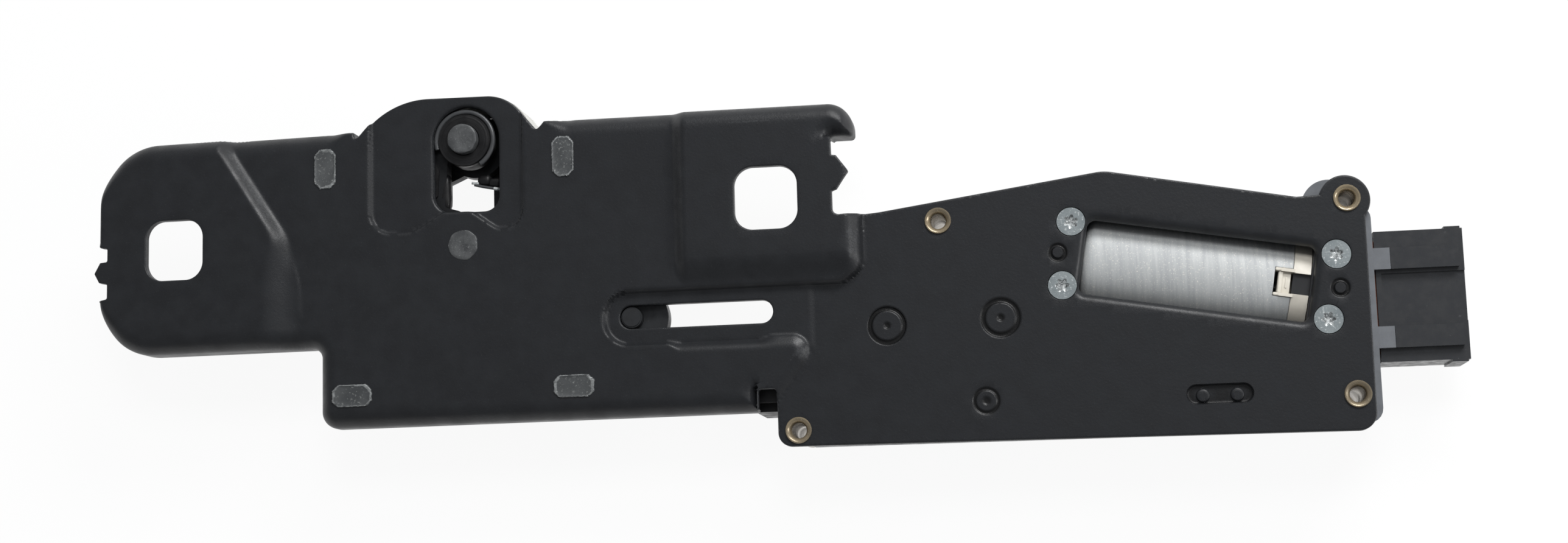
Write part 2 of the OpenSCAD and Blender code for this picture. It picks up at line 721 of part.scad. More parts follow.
module pawl_switch() {
    color("#1f2123")
        micro_switch([-74, -18.8, catch_low], [-68, -8.8, plateau_back], -73.5, -75.5);
}

lead_d = 3.2;
lead_y = -46.4;
lead_z = -32;
module switch_lead() {
    color("#1a1b1c")
        wire([[-65, lead_y, lead_z], [-56, lead_y, lead_z], [-44, -47.5, -31.5], [-32, -49.5, -31],
              [-20, -51.5, -31], [-9, -53.6, -31], [2, -53.6, -31], [8, -53.6, -31]], lead_d);
}

module slot_pin() {
    color("#2c2e31")
        union() {
            round_bar(slot_at, slot_pin_d - 0.8, drive_z - 0.5, drive_z - 0.1);
            round_bar(slot_at, slot_pin_d, bar_low - 0.1, drive_z - 0.4);
            round_bar(slot_at, slot_pin_d + 3, bar_low - 0.7, bar_low - 0.1);
        }
}

// The rack bar: its eye is the upper half of the lap on the slot pin
rack_root = rack_line + 1.25 * spur_m;
rack_tip = rack_line - 0.9 * spur_m;
rack_back = rack_root + 6;
rack_pitch = PI * spur_m;
rack_before = ceil((stroke + 4) / rack_pitch);
rack_after = 2;
rack_right = output_at.x + rack_after * rack_pitch + 0.6;
lap_z = (bar_top + bar_low) / 2;
module drive_rack() {
    h = rack_pitch / 4 - 0.06;
    slope = tan(20);
    color("#585b5e")
        difference() {
            union() {
                round_bar(slot_at, 2 * bar_end_r, bar_low, bar_top);
                slab([[slot_at.x, rack_back - 2, 0], [slot_at.x + 6, rack_root, 2], [rack_right, rack_root, 0],
                      [rack_right, rack_back, 2], [slot_at.x + 2, rack_back, 3]], bar_low, bar_top);
                // A tooth space lies over the axle, where a pinion tooth points straight up
                for (i = [-rack_before : rack_after - 1])
                    let (x = output_at.x + (i + 0.5) * rack_pitch)
                    translate([x, 0, bar_low])
                        linear_extrude(bar_t)
                            polygon([[-h - (rack_root - rack_line) * slope, rack_root + 0.01],
                                     [-h + (rack_line - rack_tip) * slope, rack_tip],
                                     [h - (rack_line - rack_tip) * slope, rack_tip],
                                     [h + (rack_root - rack_line) * slope, rack_root + 0.01]]);
            }
            round_bar(slot_at, 2 * bar_end_r + 1, bar_low - 1, lap_z + 0.05);
            round_bar(slot_at, slot_pin_d + 2 * run_c, bar_low - 1, bar_top + 1);
        }
}

// The pull link: its yoke holds the closing lever's pin and lets it rise and fall
yoke_at = catch_at + lever_end;
yoke_w = 14.5;
link_w = 9;
module pull_link() {
    rise = lever_reach * (1 - cos(lever_swing / 2));
    pin_gap = lever_pin_d + 0.8;
    color("#4d5053")
        difference() {
            union() {
                round_bar(slot_at, 2 * bar_end_r, bar_low, bar_top);
                block([yoke_at.x, slot_y - link_w / 2, bar_low], [slot_at.x, slot_y + link_w / 2, bar_top]);
                slab([[yoke_at.x - yoke_w / 2, yoke_at.y - rise - 7.5, 3], [yoke_at.x + yoke_w / 2, yoke_at.y - rise - 7.5, 3],
                      [yoke_at.x + yoke_w / 2, yoke_at.y + 7.5, 3], [yoke_at.x - yoke_w / 2, yoke_at.y + 7.5, 3]],
                     bar_low, bar_top);
            }
            round_bar(slot_at, 2 * bar_end_r + 1, lap_z - 0.05, bar_top + 1);
            round_bar(slot_at, slot_pin_d + 2 * run_c, bar_low - 1, bar_top + 1);
            stadium(yoke_at + [0, 0.5], yoke_at - [0, rise + 0.5], pin_gap, bar_low - 1, bar_top + 1);
        }
}

// Rubber grommet at the switch lead's way into the housing, which also backs the carrier's notch
spigot_d = 6;
module lead_grommet() {
    color("#1c1d1e")
        difference() {
            union() {
                block([-6, -61, -35], [3.4, -50, rim_z - 0.2]);
                block([-6, -58.5, rim_z - 0.5], [3.4, -50, drive_back - 0.3]);
                translate([3, -53.6, -31])
                    rotate([0, 90, 0])
                        cylinder(h = 3.6, d = spigot_d);
            }
            translate([-8, -53.6, -31])
                rotate([0, 90, 0])
                    cylinder(h = 16, d = lead_d + 2 * fix_c);
        }
}

module rack_guide() {
    color("#d8d4c8")
        block([22, rack_back + 0.15, bar_low], [43, rack_back + 6, drive_back - 0.1]);
}

// The grey tray that holds the gears and the motor, open to the carrier
housing_outline = [
    [3.6, -drive_bottom + 2.4, 4], [housing_right, -drive_bottom + 1.4, 4], [housing_right, -10.5, 3],
    [drive_right - 18.6, -9.2, 8], [99.3, drive_apex - 2.2, 14], [33, -7.8, 15], [3.6, -12.8, 18]
];
module gear_housing() {
    color("#6e7278")
        difference() {
            union() {
                difference() {
                    slab(housing_outline, rest_z, drive_back);
                    slab(grown(housing_outline, -wall), rest_z + wall, drive_back + 1);
                }
                intersection() {
                    difference() {
                        slab(housing_outline, drive_back - 1, ear_back);
                        slab(grown(housing_outline, -wall), drive_back - 2, 0);
                    }
                    slab(grown(inner_ear, -sheet_t - near_c), drive_back - 1, 0);
                    slab(grown(rim_outline, -sheet_t - near_c), drive_back - 1, 0);
                }
                intersection() {
                    slab(housing_outline, rest_z, drive_back);
                    for (at = bushes)
                        round_bar(at, bush_d + 4, rest_z, drive_back);
                }
                round_bar([drive_right - 9.4, -9.4], 15, rest_z, drive_back);
                round_bar(output_at, 12, rest_z + 1, output_low - 0.2);
                round_bar(wheel_at, 10, rest_z + 1, wheel_low - 0.2);
                round_bar(post_at, 8, rest_z + 1, rest_z + 12);
                for (y = rail_y)
                    block([housing_right - 1, plug_y + y - rail_w / 2, plug_z + plug_h / 2 + 0.05],
                          [housing_right + 5.2, plug_y + y + rail_w / 2, plug_z + plug_h / 2 + 2]);
            }
            for (at = bushes)
                round_bar(at, bush_d + 2 * fix_c, rest_z - 1, drive_back + 1);
            round_bar(output_at, output_axle_d + 2 * run_c, rest_z + wall, drive_back);
            round_bar(wheel_at, wheel_axle_d + 2 * run_c, rest_z + wall, drive_back);
            round_bar(post_at, 5 + 2 * run_c, rest_z + wall, drive_back);
            block([0, slot_y - bar_end_r - 1, bar_low - 1], [10, rack_back + 1, ear_back + 1]);
            block([housing_right - wall - 1, plug_y - 14, plug_z - 4], [housing_right + 1, plug_y + 14, plug_z + 4]);
            translate([0, -53.6, -31])
                rotate([0, 90, 0])
                    cylinder(h = 9, d = spigot_d + 2 * fix_c);
        }
}

// Spur gears and the worm wheel, each one moulding with its pinion
output_low = bar_low - 5.8;
output_t = 4.8;
wheel_low = motor_z - 3;
wheel_t = 6;
module gear(at, m, z, z0, z1, phase, play) {
    translate([at.x, at.y, z0])
        rotate(phase)
            linear_extrude(z1 - z0)
                polygon(gear_points(m, z, play));
}

// The worm wheel's pinion meets the output gear along the line between the axles
mesh_angle = atan2(wheel_at.y - output_at.y, wheel_at.x - output_at.x);
output_phase = 90;
output_turn = mesh_angle + 180 / output_teeth;
pinion_turn = mesh_angle + 180;
module output_gear() {
    color("#d9d6cc")
        difference() {
            union() {
                gear(output_at, spur_m, output_teeth, output_low, output_low + output_t, output_turn, 0.25);
                round_bar(output_at, 14, output_low, output_low + output_t + 1);
                gear(output_at, spur_m, rack_pinion_teeth, output_low + output_t + 0.8, bar_top, output_phase, 0.25);
            }
            round_bar(output_at, output_axle_d + 2 * run_c, output_low - 1, bar_top + 1);
            for (a = [30 : 60 : 330])
                round_bar(output_at + 17.5 * [cos(a), sin(a)], 8, output_low - 1, output_low + output_t + 0.4);
        }
}

module output_axle() {
    color("#9aa0a3")
        round_bar(output_at, output_axle_d, rest_z + wall + 0.1, drive_back - 0.1);
}

worm_pitch = PI * wheel_m;
module worm_wheel() {
    color("#e4dfd2")
        difference() {
            union() {
                translate([wheel_at.x, wheel_at.y, wheel_low])
                    rotate(90 - motor_tilt)
                        linear_extrude(wheel_t)
                            polygon(wheel_points());
                gear(wheel_at, spur_m, wheel_pinion_teeth, wheel_low + wheel_t - 0.1, output_low + output_t + 0.5,
                     pinion_turn, 0.25);
            }
            round_bar(wheel_at, wheel_axle_d + 2 * run_c, wheel_low - 1, drive_back);
        }
}

// Worm wheel teeth are slim, so that the slanted worm thread passes between them
tooth_share = 0.17;
function wheel_points() =
    let (half = 360 / wheel_teeth * tooth_share, deep = wheel_r - 1.1 * wheel_m, tip = wheel_r + 0.9 * wheel_m)
    [for (i = [0 : wheel_teeth - 1])
        let (mid = 360 * i / wheel_teeth)
        each [deep * [cos(mid - 1.5 * half), sin(mid - 1.5 * half)], tip * [cos(mid - 0.7 * half), sin(mid - 0.7 * half)],
              tip * [cos(mid + 0.7 * half), sin(mid + 0.7 * half)], deep * [cos(mid + 1.5 * half), sin(mid + 1.5 * half)]]];

module worm_wheel_axle() {
    color("#9aa0a3")
        round_bar(wheel_at, wheel_axle_d, rest_z + wall + 0.1, drive_back - 0.1);
}

module support_post() {
    color("#9aa0a3")
        round_bar(post_at, 5, rest_z + wall + 0.1, drive_back - 0.1);
}

// The worm: a core and one thread that a wheel tooth gap faces at rest
worm_half = 8;
worm_steps = 16;
module worm() {
    root = worm_r - 1.15 * wheel_m;
    tip = worm_r + 0.85 * wheel_m;
    turns = floor(2 * worm_half / worm_pitch) - 0.5;
    count = round(turns * worm_steps);
    color("#b08d4a")
        on_axis(0)
            difference() {
                union() {
                    translate([0, 0, -worm_half])
                        cylinder(h = 2 * worm_half, r = root);
                    worm_thread(root - 0.3, tip, turns, count);
                }
                translate([0, 0, -worm_half - 1])
                    cylinder(h = 2 * worm_half + 2, d = shaft_d + 2 * run_c);
            }
}

module worm_thread(root, tip, turns, count) {
    foot = worm_pitch * 0.24;
    crest = worm_pitch * 0.1;
    profile = [[root, -foot], [tip, -crest], [tip, crest], [root, foot]];
    rings = [for (i = [0 : count])
        let (a = thread_hand * 360 * turns * (i / count - 0.5) + thread_start, z = worm_pitch * turns * (i / count - 0.5))
        for (p = profile) [p.x * cos(a), p.x * sin(a), p.y + z]];
    walls = [for (i = [0 : count - 1]) for (k = [0 : 3])
        let (a = 4 * i + k, b = 4 * i + (k + 1) % 4)
        each thread_hand > 0 ? [[a, b, b + 4], [a, b + 4, a + 4]] : [[a, b + 4, b], [a, a + 4, b + 4]]];
    first = thread_hand > 0 ? [[0, 2, 1], [0, 3, 2]] : [[0, 1, 2], [0, 2, 3]];
    e = 4 * count;
    last = thread_hand > 0 ? [[e, e + 1, e + 2], [e, e + 2, e + 3]] : [[e, e + 2, e + 1], [e, e + 3, e + 2]];
    polyhedron(rings, concat(walls, first, last), convexity = 10);
}
thread_hand = 1;
thread_start = 90;

bearing_s = -13;
module worm_end_bearing() {
    color("#c9b27a")
        difference() {
            motor_block(bearing_s - 3, bearing_s + 3, -3.4, 3.4, rest_z + wall, motor_z + 3.4);
            on_axis(bearing_s - 2)
                cylinder(h = 8, d = shaft_d + 2 * run_c);
        }
}

module motor_shaft() {
    color("#a9adb0")
        on_axis(bearing_s - 1.8)
            cylinder(h = can_end + 4 - bearing_s + 1.8, d = shaft_d);
}

module motor_rotor() {
    color("#7a5b3a")
        on_axis(can_start + 9)
            difference() {
                cylinder(h = can_len - 26.9, d = 19);
                translate([0, 0, -1])
                    cylinder(h = can_len, d = shaft_d + 2 * run_c);
            }
}

module motor_commutator() {
    color("#b5793c")
        on_axis(can_end - 15.9)
            difference() {
                cylinder(h = 9, d = 8);
                translate([0, 0, -1])
                    cylinder(h = 20, d = shaft_d + 2 * run_c);
            }
}

can_wall = 1.2;
module motor_can() {
    color("#8f9396")
        difference() {
            union() {
                on_axis(can_start)
                    cylinder(h = can_len, d = can_d);
                on_axis(can_start - 2)
                    cylinder(h = 2.1, d = 10);
            }
            on_axis(can_start + can_wall)
                cylinder(h = can_len, d = can_d - 2 * can_wall);
            on_axis(can_start - 3)
                cylinder(h = 6, d = 7);
            motor_block(can_end - 5.1, can_end + 1, -4.2, 4.2, motor_z + 5, motor_z + can_d);
        }
}

module motor_magnets() {
    color("#3c3c3e")
        on_axis(can_start + 8)
            difference() {
                cylinder(h = can_len - 24.9, d = can_d - 2 * can_wall - 0.1);
                translate([0, 0, -1])
                    cylinder(h = can_len, d = 20.4);
                translate([-20, -3, -1])
                    cube([can_d + 12, 6, can_len]);
            }
}

module motor_front_bearing() {
    color("#b8863b")
        on_axis(can_start - 2)
            difference() {
                cylinder(h = 4.5, d = 7 - 2 * run_c);
                translate([0, 0, -1])
                    cylinder(h = 8, d = shaft_d + 2 * run_c);
            }
}

module motor_end_cap() {
    color("#d3cfc2")
        difference() {
            union() {
                on_axis(can_end + fix_c)
                    cylinder(h = cap_len, d = can_d - 0.3);
                on_axis(can_end - 4)
                    cylinder(h = 5, d = can_d - 2 * can_wall - 0.2);
                on_axis(can_end + cap_len - 0.5)
                    cylinder(h = 2.6, d = 10);
                motor_block(can_end - 3.4, can_end + 0.5, -4, -3.1, motor_z + 9, motor_z + can_d / 2 - 0.1);
                motor_block(can_end - 3.4, can_end + 0.5, 3.1, 4, motor_z + 9, motor_z + can_d / 2 - 0.1);
            }
            on_axis(can_end - 5)
                cylinder(h = 6.2, d = 12);
            on_axis(can_end - 5)
                cylinder(h = 11.4, d = 7);
            motor_block(can_end - 0.5, can_end + 8, -3, 3, motor_z + 6, motor_z + can_d);
        }
}

module motor_brushes() {
    color("#4a4038")
        for (side = [-1, 1])
            motor_block(can_end - 13.9, can_end - 8.9, side * 6.1 - 1.9, side * 6.1 + 1.9, motor_z - 2, motor_z + 2);
}

module motor_rear_bearing() {
    color("#b8863b")
        on_axis(can_end + 1.4)
            difference() {
                cylinder(h = 4.8, d = 7 - 2 * run_c);
                translate([0, 0, -1])
                    cylinder(h = 4, d = shaft_d + 2 * run_c);
            }
}

// Plastic blocks that clamp the motor and take the carrier screws
screw_deep = 16;
module bracket(s0, s1, screws_s, bore_d) {
    difference() {
        union() {
            motor_block(s0, s1, -11.6, 11.6, rest_z + wall, drive_back - 0.5);
            for (off = [-screw_off, screw_off])
                round_bar(on_motor(screws_s, off), screw_d + 3.2, drive_back - 10.5, drive_back - 0.1);
        }
        on_axis(s0 - 1)
            cylinder(h = s1 - s0 + 2, d = bore_d);
        for (off = [-screw_off, screw_off])
            round_bar(on_motor(screws_s, off), screw_d + 2 * run_c, drive_back - screw_deep - 1, drive_back + 1);
    }
}

module front_motor_bracket() {
    color("#2a2c2e")
        bracket(front_s0, can_start - 0.1, screw_front_s, 10.2);
}

module rear_motor_bracket() {
    color("#2a2c2e")
        bracket(rear_s0, rear_s0 + 8.4, screw_rear_s, 10.2);
}

// Two short leads from the end cap to the terminal carrier
carrier_x = drive_right - 3.5;
lead_z0 = motor_z - 2;
module motor_leads() {
    color("#7d2f2a")
        for (side = [-1, 1]) {
            a = on_motor(can_end + cap_len + fix_c, side * 12.6);
            b = on_motor(can_end + cap_len + 5.6, side * 12.6);
            y = b.y + (side > 0 ? -0.5 : -1.4);
            wire([[a.x, a.y, lead_z0], [b.x, b.y, lead_z0], [carrier_x - 2.2, y, lead_z0],
                  [carrier_x, y, lead_z0]], 1.5);
        }
}

module terminal_carrier() {
    color("#33363a")
        difference() {
            block([carrier_x, plug_y - 16, rest_z + wall], [housing_right - wall - 0.1, plug_y + 14, plug_z + 7]);
            for (y = blade_y)
                blade(y, fix_c);
        }
}

rail_y = [10.6, -11.7];
rail_w = 6.1;
blade_y = [-12, -7.2, -2.4, 2.4, 7.2, 12];
blade_end = housing_right + 16;
module blade(y, grow) {
    block([carrier_x - 0.4 + grow, plug_y + y - 1.1 - grow, plug_z - 0.4 - grow],
          [blade_end, plug_y + y + 1.1 + grow, plug_z + 0.4 + grow]);
}

module connector_terminals() {
    color("#b9a36a")
        for (y = blade_y)
            blade(y, 0);
}

// Connector socket with two keying rails on its front
plug_wall = 1.8;
module connector_shell() {
    x0 = housing_right + 1.2;
    x1 = housing_right + plug_len;
    h = plug_w / 2;
    v = plug_h / 2;
    color("#3e4045")
        difference() {
            union() {
                block([x0, plug_y - h, plug_z - v], [x1, plug_y + h, plug_z + v]);
                block([housing_right, plug_y - 14, plug_z - 5], [x0 + 1, plug_y + 14, plug_z + 5]);
                block([x1 - 5, plug_y - h - 0.6, plug_z - v], [x1 - 0.6, plug_y + h + 0.6, plug_z + v]);
                for (y = rail_y)
                    block([housing_right + 5.3, plug_y + y - rail_w / 2, plug_z + v - 0.5],
                          [x1 - 1.6, plug_y + y + rail_w / 2, plug_z + v + 2]);
            }
            block([x0 + 3, plug_y - h + plug_wall, plug_z - v + plug_wall], [x1 + 1, plug_y + h - plug_wall, plug_z + v - plug_wall]);
            block([x0 + 1.5, plug_y + rail_y[1] + rail_w / 2 + 1, plug_z + v - 0.7],
                  [x1 + 1, plug_y + rail_y[0] - rail_w / 2 - 1, plug_z + v + 3]);
            for (y = blade_y)
                blade(y, fix_c);
        }
}

module connector_seal() {
    color("#7a4a2c")
        difference() {
            block([housing_right, plug_y - 16, plug_z - 7], [housing_right + 1.15, plug_y + 16, plug_z + 7]);
            block([housing_right - 1, plug_y - 14.1, plug_z - 5.1], [housing_right + 2, plug_y + 14.1, plug_z + 5.1]);
        }
}

// Countersunk screws with a six-lobed recess
module carrier_screws() {
    color("#a9b2b4")
        for (s = [screw_front_s, screw_rear_s], off = [-screw_off, screw_off])
            let (at = on_motor(s, off))
            difference() {
                union() {
                    round_bar(at, screw_d, drive_back - screw_deep, drive_z - 2);
                    translate([at.x, at.y, drive_z - 2.1])
                        cylinder(h = 2.1, d1 = screw_d, d2 = screw_head_d);
                }
                round_bar(at, 2.7, drive_z - 1.4, drive_z + 1);
                for (k = [0 : 5])
                    round_bar(at + 1.45 * [cos(60 * k), sin(60 * k)], 0.9, drive_z - 1.4, drive_z + 1);
            }
}

module bush_sleeves() {
    color("#a07d3c")
        for (at = bushes)
            difference() {
                union() {
                    round_bar(at, bush_d, rest_z, drive_z + 0.3);
                    round_bar(at, bush_flange, drive_z, drive_z + 0.6);
                }
                round_bar(at, bush_bore, rest_z - 1, drive_z + 2);
                translate([at.x, at.y, drive_z - 0.1])
                    cylinder(h = 0.8, d1 = bush_bore, d2 = bush_d);
            }
}

carrier_plate();
latch_back_plate();
latch_frame();
latch_rear_cover();
latch_cover_screws();
catch_pivot_pin();
pawl_pivot_stud();
rotary_catch();
catch_jacket();
catch_spring();
pawl();
pawl_spring();
closing_lever();
closing_lever_pin();
catch_switch();
pawl_switch();
switch_lead();
lead_grommet();
slot_pin();
drive_rack();
pull_link();
rack_guide();
gear_housing();
output_gear();
output_axle();
worm_wheel();
worm_wheel_axle();
support_post();
worm();
worm_end_bearing();
motor_shaft();
motor_rotor();
motor_commutator();
motor_can();
motor_magnets();
motor_front_bearing();
motor_end_cap();
motor_brushes();
motor_rear_bearing();
front_motor_bracket();
rear_motor_bracket();
motor_leads();
terminal_carrier();
connector_shell();
connector_terminals();
connector_seal();
carrier_screws();
bush_sleeves();
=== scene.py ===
"""Looks of the tailgate latch drive.

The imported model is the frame. This script lays the pressed and coated sheet over it, with its soft press steps and
rolled edges, dresses the latch in the aperture, the motor in its window, the fixings and the connector, and gives
every piece its finish. Lengths here are in millimetres, and MM turns them into the scene's metres.
"""

import json
import math

import bpy
import bmesh
import numpy as np
from mathutils import Matrix, Vector
from mathutils.geometry import delaunay_2d_cdt


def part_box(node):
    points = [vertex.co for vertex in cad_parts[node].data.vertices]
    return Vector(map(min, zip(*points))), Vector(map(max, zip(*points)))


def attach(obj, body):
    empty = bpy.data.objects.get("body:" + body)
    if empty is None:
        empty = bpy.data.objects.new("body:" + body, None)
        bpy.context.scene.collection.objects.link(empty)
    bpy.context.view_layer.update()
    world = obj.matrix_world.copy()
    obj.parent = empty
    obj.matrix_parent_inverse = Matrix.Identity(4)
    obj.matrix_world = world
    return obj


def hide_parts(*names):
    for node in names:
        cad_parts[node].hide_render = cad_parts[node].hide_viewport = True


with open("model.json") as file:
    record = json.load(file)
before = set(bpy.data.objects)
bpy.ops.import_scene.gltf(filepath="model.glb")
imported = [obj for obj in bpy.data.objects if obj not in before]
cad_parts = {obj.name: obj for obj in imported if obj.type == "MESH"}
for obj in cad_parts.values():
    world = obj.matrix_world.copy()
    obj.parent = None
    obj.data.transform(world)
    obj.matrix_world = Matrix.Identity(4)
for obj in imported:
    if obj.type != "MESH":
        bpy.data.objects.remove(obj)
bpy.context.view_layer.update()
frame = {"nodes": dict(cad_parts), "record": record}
scene = bpy.context.scene

MM = 0.001
nodes = frame["nodes"]
record = frame["record"]
mounts = {m["name"]: [v / MM for v in m["pos_m"]] for m in record["mounts"]}
joints = {j["name"]: j for j in record["behaviour"]["joints"]}


def centre(node):
    """Middle of a node's box, in millimetres."""
    low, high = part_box(node)
    return (np.array(low) + np.array(high)) / 2 / MM


# Levels of the sheet's front from the ear faces back, the sheet's thickness and the level at which its rim ends
EAR = 0.0
PLATEAU = -3.0
RECESS = -4.5
DRIVE = -5.5
SHEET = 2.5
RIM = -12.0

# Places that come from the frame
catch_axis = centre("catch_pivot_pin")[:2]
pawl_axis = centre("pawl_pivot_stud")[:2]
slot_pin_at = centre("slot_pin")[:2]
output_axis = centre("output_axle")[:2]
wheel_axis = centre("worm_wheel_axle")[:2]
post_axis = centre("support_post")[:2]
bushes = [mounts[name][:2] for name in
          ("bush_top_middle", "bush_bottom_left", "bush_top_right", "bush_bottom_right")]
motor_foot = np.array(joints["motor_spin"]["pos_m"]) / MM
motor_dir = np.array(joints["motor_spin"]["axis"])
motor_side = np.array([-motor_dir[1], motor_dir[0], 0.0])
floor_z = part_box("gear_housing")[0][2] / MM

# The motor's can, window, screws and dowels, by their places along its axis from the worm's middle
CAN_START = 20.6
CAN_END = 79.7
CAN_R = 13.85
WINDOW_MIDDLE = 53.0
WINDOW = (64.4, 21.4)
SCREW_S = (16.1, 90.6)
SCREW_OFF = 9.25
DOWEL_S = (13.6, 92.8)

# Openings of the sheet: the square holes by half their width, and the others by radius
HOLE = 9.2
HOLE_CORNER = 5.5
SLOT_R = 3.4
SLOT_RUN = 38.2
BUSH_HOLE_R = 3.1
SCREW_HOLE_R = 4.25


def on_motor(s, off=0.0):
    """A point of the plan, s along the motor axis and off to its upper side."""
    return (motor_foot + s * motor_dir + off * motor_side)[:2]


# Outlines in the plan


STRAIGHT = 1.56  # half the angle at a corner that needs no arc


def rounded(corners, step=0.35):
    """A closed outline from (x, y, radius) corners, with each corner turned along an arc."""
    pts = []
    count = len(corners)
    for i, (x, y, r) in enumerate(corners):
        b = np.array((x, y))
        u = np.array(corners[i - 1][:2]) - b
        w = np.array(corners[(i + 1) % count][:2]) - b
        u = u / np.linalg.norm(u)
        w = w / np.linalg.norm(w)
        half = math.acos(np.clip(u @ w, -1, 1)) / 2
        if r <= 0 or half > STRAIGHT:
            pts.append(b)
            continue
        mid = b + (u + w) / np.linalg.norm(u + w) * r / math.sin(half)
        p = b + u * r / math.tan(half) - mid
        q = b + w * r / math.tan(half) - mid
        start = math.atan2(p[1], p[0])
        sweep = math.atan2(p[0] * q[1] - p[1] * q[0], p @ q)
        steps = max(3, int(abs(sweep) * r / step))
        for k in range(steps + 1):
            a = start + sweep * k / steps
            pts.append(mid + r * np.array((math.cos(a), math.sin(a))))
    return np.array(pts)


def ring(centre_at, r, step=0.35, start=0.0, sweep=2 * math.pi):
    """Points round a circle, or along an arc of it."""
    steps = max(10, int(abs(sweep) * r / step))
    a = start + np.arange(steps) * sweep / steps
    return np.array(centre_at) + r * np.stack([np.cos(a), np.sin(a)], 1)


def stadium(a, b, r, step=0.35):
    """A slot with round ends about a and b."""
    a, b = np.array(a), np.array(b)
    turn = math.atan2(*(b - a)[::-1])
    side = r * np.array((-math.sin(turn), math.cos(turn)))
    quarter = math.pi / 2
    return np.vstack([ring(b, r, step, turn - quarter, math.pi), b + side,
                      ring(a, r, step, turn + quarter, math.pi), a - side])


def spaced(outline, step):
    """The closed outline with points added so that none are further apart than step."""
    out = []
    for p, q in zip(outline, np.roll(outline, -1, 0)):
        n = max(1, int(math.ceil(np.linalg.norm(q - p) / step)))
        out.extend(p + (q - p) * k / n for k in range(n))
    return np.array(out)


def inside_distance(points, outline):
    """Distance of each point to a closed outline: positive inside it, negative outside."""
    best = np.full(len(points), 1e12)
    inside = np.zeros(len(points), bool)
    for p, q in zip(outline, np.roll(outline, -1, 0)):
        d = q - p
        size = d @ d
        if size < 1e-12:
            continue
        t = np.clip((points - p) @ d / size, 0, 1)
        gap = points - p - t[:, None] * d
        best = np.minimum(best, (gap * gap).sum(1))
        if d[1]:
            crosses = (p[1] > points[:, 1]) != (q[1] > points[:, 1])
            inside ^= crosses & (points[:, 0] < p[0] + (points[:, 1] - p[1]) * d[0] / d[1])
    return np.where(inside, 1.0, -1.0) * np.sqrt(best)


# The sheet in the plan, as corners with their radii. The lug at the upper right is an arc between its two feet
LUG = (163.5, -8.3)
LUG_R = 7.1
LUG_FEET = [(168.9, -13.2, 0), (155.4, -7.6, 0)]
SHEET_LOW = [
    (-201.4, -37.4, 15.2), (-134.8, -37.4, 3), (-134.8, -61.3, 5), (-4, -61.3, 1), (-4, -55.1, 0.8),
    (1.1, -55.1, 0.8), (1.1, -71.6, 4), (168.6, -73.2, 5)]
SHEET_TOP = [
    (150.3, -6.7, 3), (96.8, 3.6, 14), (32, -5.1, 15), (19.2, -6.1, 2), (19.2, 1.1, 0.4), (20.6, 1.6, 0.4),
    (24.1, 6.8, 0.6), (20.8, 11.3, 0.4), (19.3, 11.5, 0.4), (19.2, 17.6, 0.8), (25.6, 17.6, 1.2), (25.6, 27.4, 7.5),
    (-57, 27.6, 5), (-65.8, 26.9, 0.8), (-68.0, 24.2, 0.8), (-77.4, 35.6, 13), (-112.2, 36.0, 25),
    (-123.2, 24.3, 0.5), (-123.7, 26.6, 0.5), (-133, 27.1, 5), (-201.4, 26.1, 17), (-201.4, -4.9, 0.5),
    (-199, -5.3, 0.5), (-199, -9.2, 0.5), (-201.2, -9.4, 0.4), (-203.0, -12.7, 0.5), (-201.5, -15.5, 0.4),
    (-199, -16, 0.5), (-199, -20.4, 0.6), (-201.4, -20.9, 0.6)]
DOME_NOTCHES = (-123.5, -67)

# Where the press steps run, and how wide they are
EAR_OUTER = [(-160.9, 60, 0), (-230, 60, 0), (-230, -80, 0), (-139.6, -80, 0), (-139.9, -20, 24), (-143.2, -4, 14),
             (-161.1, 24.2, 0)]
EAR_STEP = 4.4
EAR_FOOT_STEP = 7
EAR_INNER_LEFT = (-28.2, 4.8)
EAR_INNER_RIGHT = (27.5, 5.0)
EAR_INNER_LOW = (-25.0, 9.0)
RECESS_CORNERS = [(-119.2, 60, 0), (-119.2, -5.2, 7), (-105, -4.7, 9), (-96, 0.9, 5), (-88.5, 0.9, 5), (-80.4, -5, 5),
                  (-72, -5, 6), (-72, 60, 0)]
RECESS_STEP = 1.0
SLOT_RECESS_R = 7.75
DRIVE_STEP = 4.2
RIDGE = 0.3
JOGGLE = 0.4
JOGGLE_AT = 12.3

# Wear of the coat: how fast it fades from the outline and from the openings, and the strength of the painted highlights
# on the press steps
OUTLINE_WEAR = 0.5
OPENING_WEAR = 0.35
PAINTED_SHEEN = 0.82

# Radii at which the outline's edge is turned: along the sides, at the ear's notched end, and where it is cut
SIDE_ROLL = 5.6
END_ROLL = 0.9
CUT_ROLL = 0.45

# Spacing of the skin's fine points, how many of them the coarse ones skip, and how far the fine ones go before each
# press step and past it
GRID = 0.6
COARSE = 4
FINE_BEFORE = 3.2
FINE_PAST = (9, 3.4, 3.4)


def drive_floor_outline():
    """The low level: the drive plate, the diagonal below the inner ear and the long slot's floor."""
    top = slot_pin_at[1] + SLOT_RECESS_R
    low = slot_pin_at[1] - SLOT_RECESS_R - 0.9
    left = slot_pin_at[0] - 8.1
    corner = SLOT_RECESS_R - 0.1
    return rounded([
        (26.4, 60, 0), (26.4, -21, 4.5), (21, top, 3), (left, top, corner), (left, low, corner), (10.2, low, 3.2),
        (8.6, -46.6, 6), (-0.4, -58.2, 6), (-1.4, -90, 0), (220, -90, 0), (220, 60, 0)])


def smooth(t):
    """A soft press step that goes from 0 to 1 with t."""
    t = np.clip(t, 0, 1)
    return t * t * (3 - 2 * t)


def roll_off(d, r):
    """Drop of a rounded edge of radius r, at the distance d inside the edge."""
    gap = np.clip(r - d, 0, r)
    return r - np.sqrt(np.maximum(r * r - gap * gap, 0))


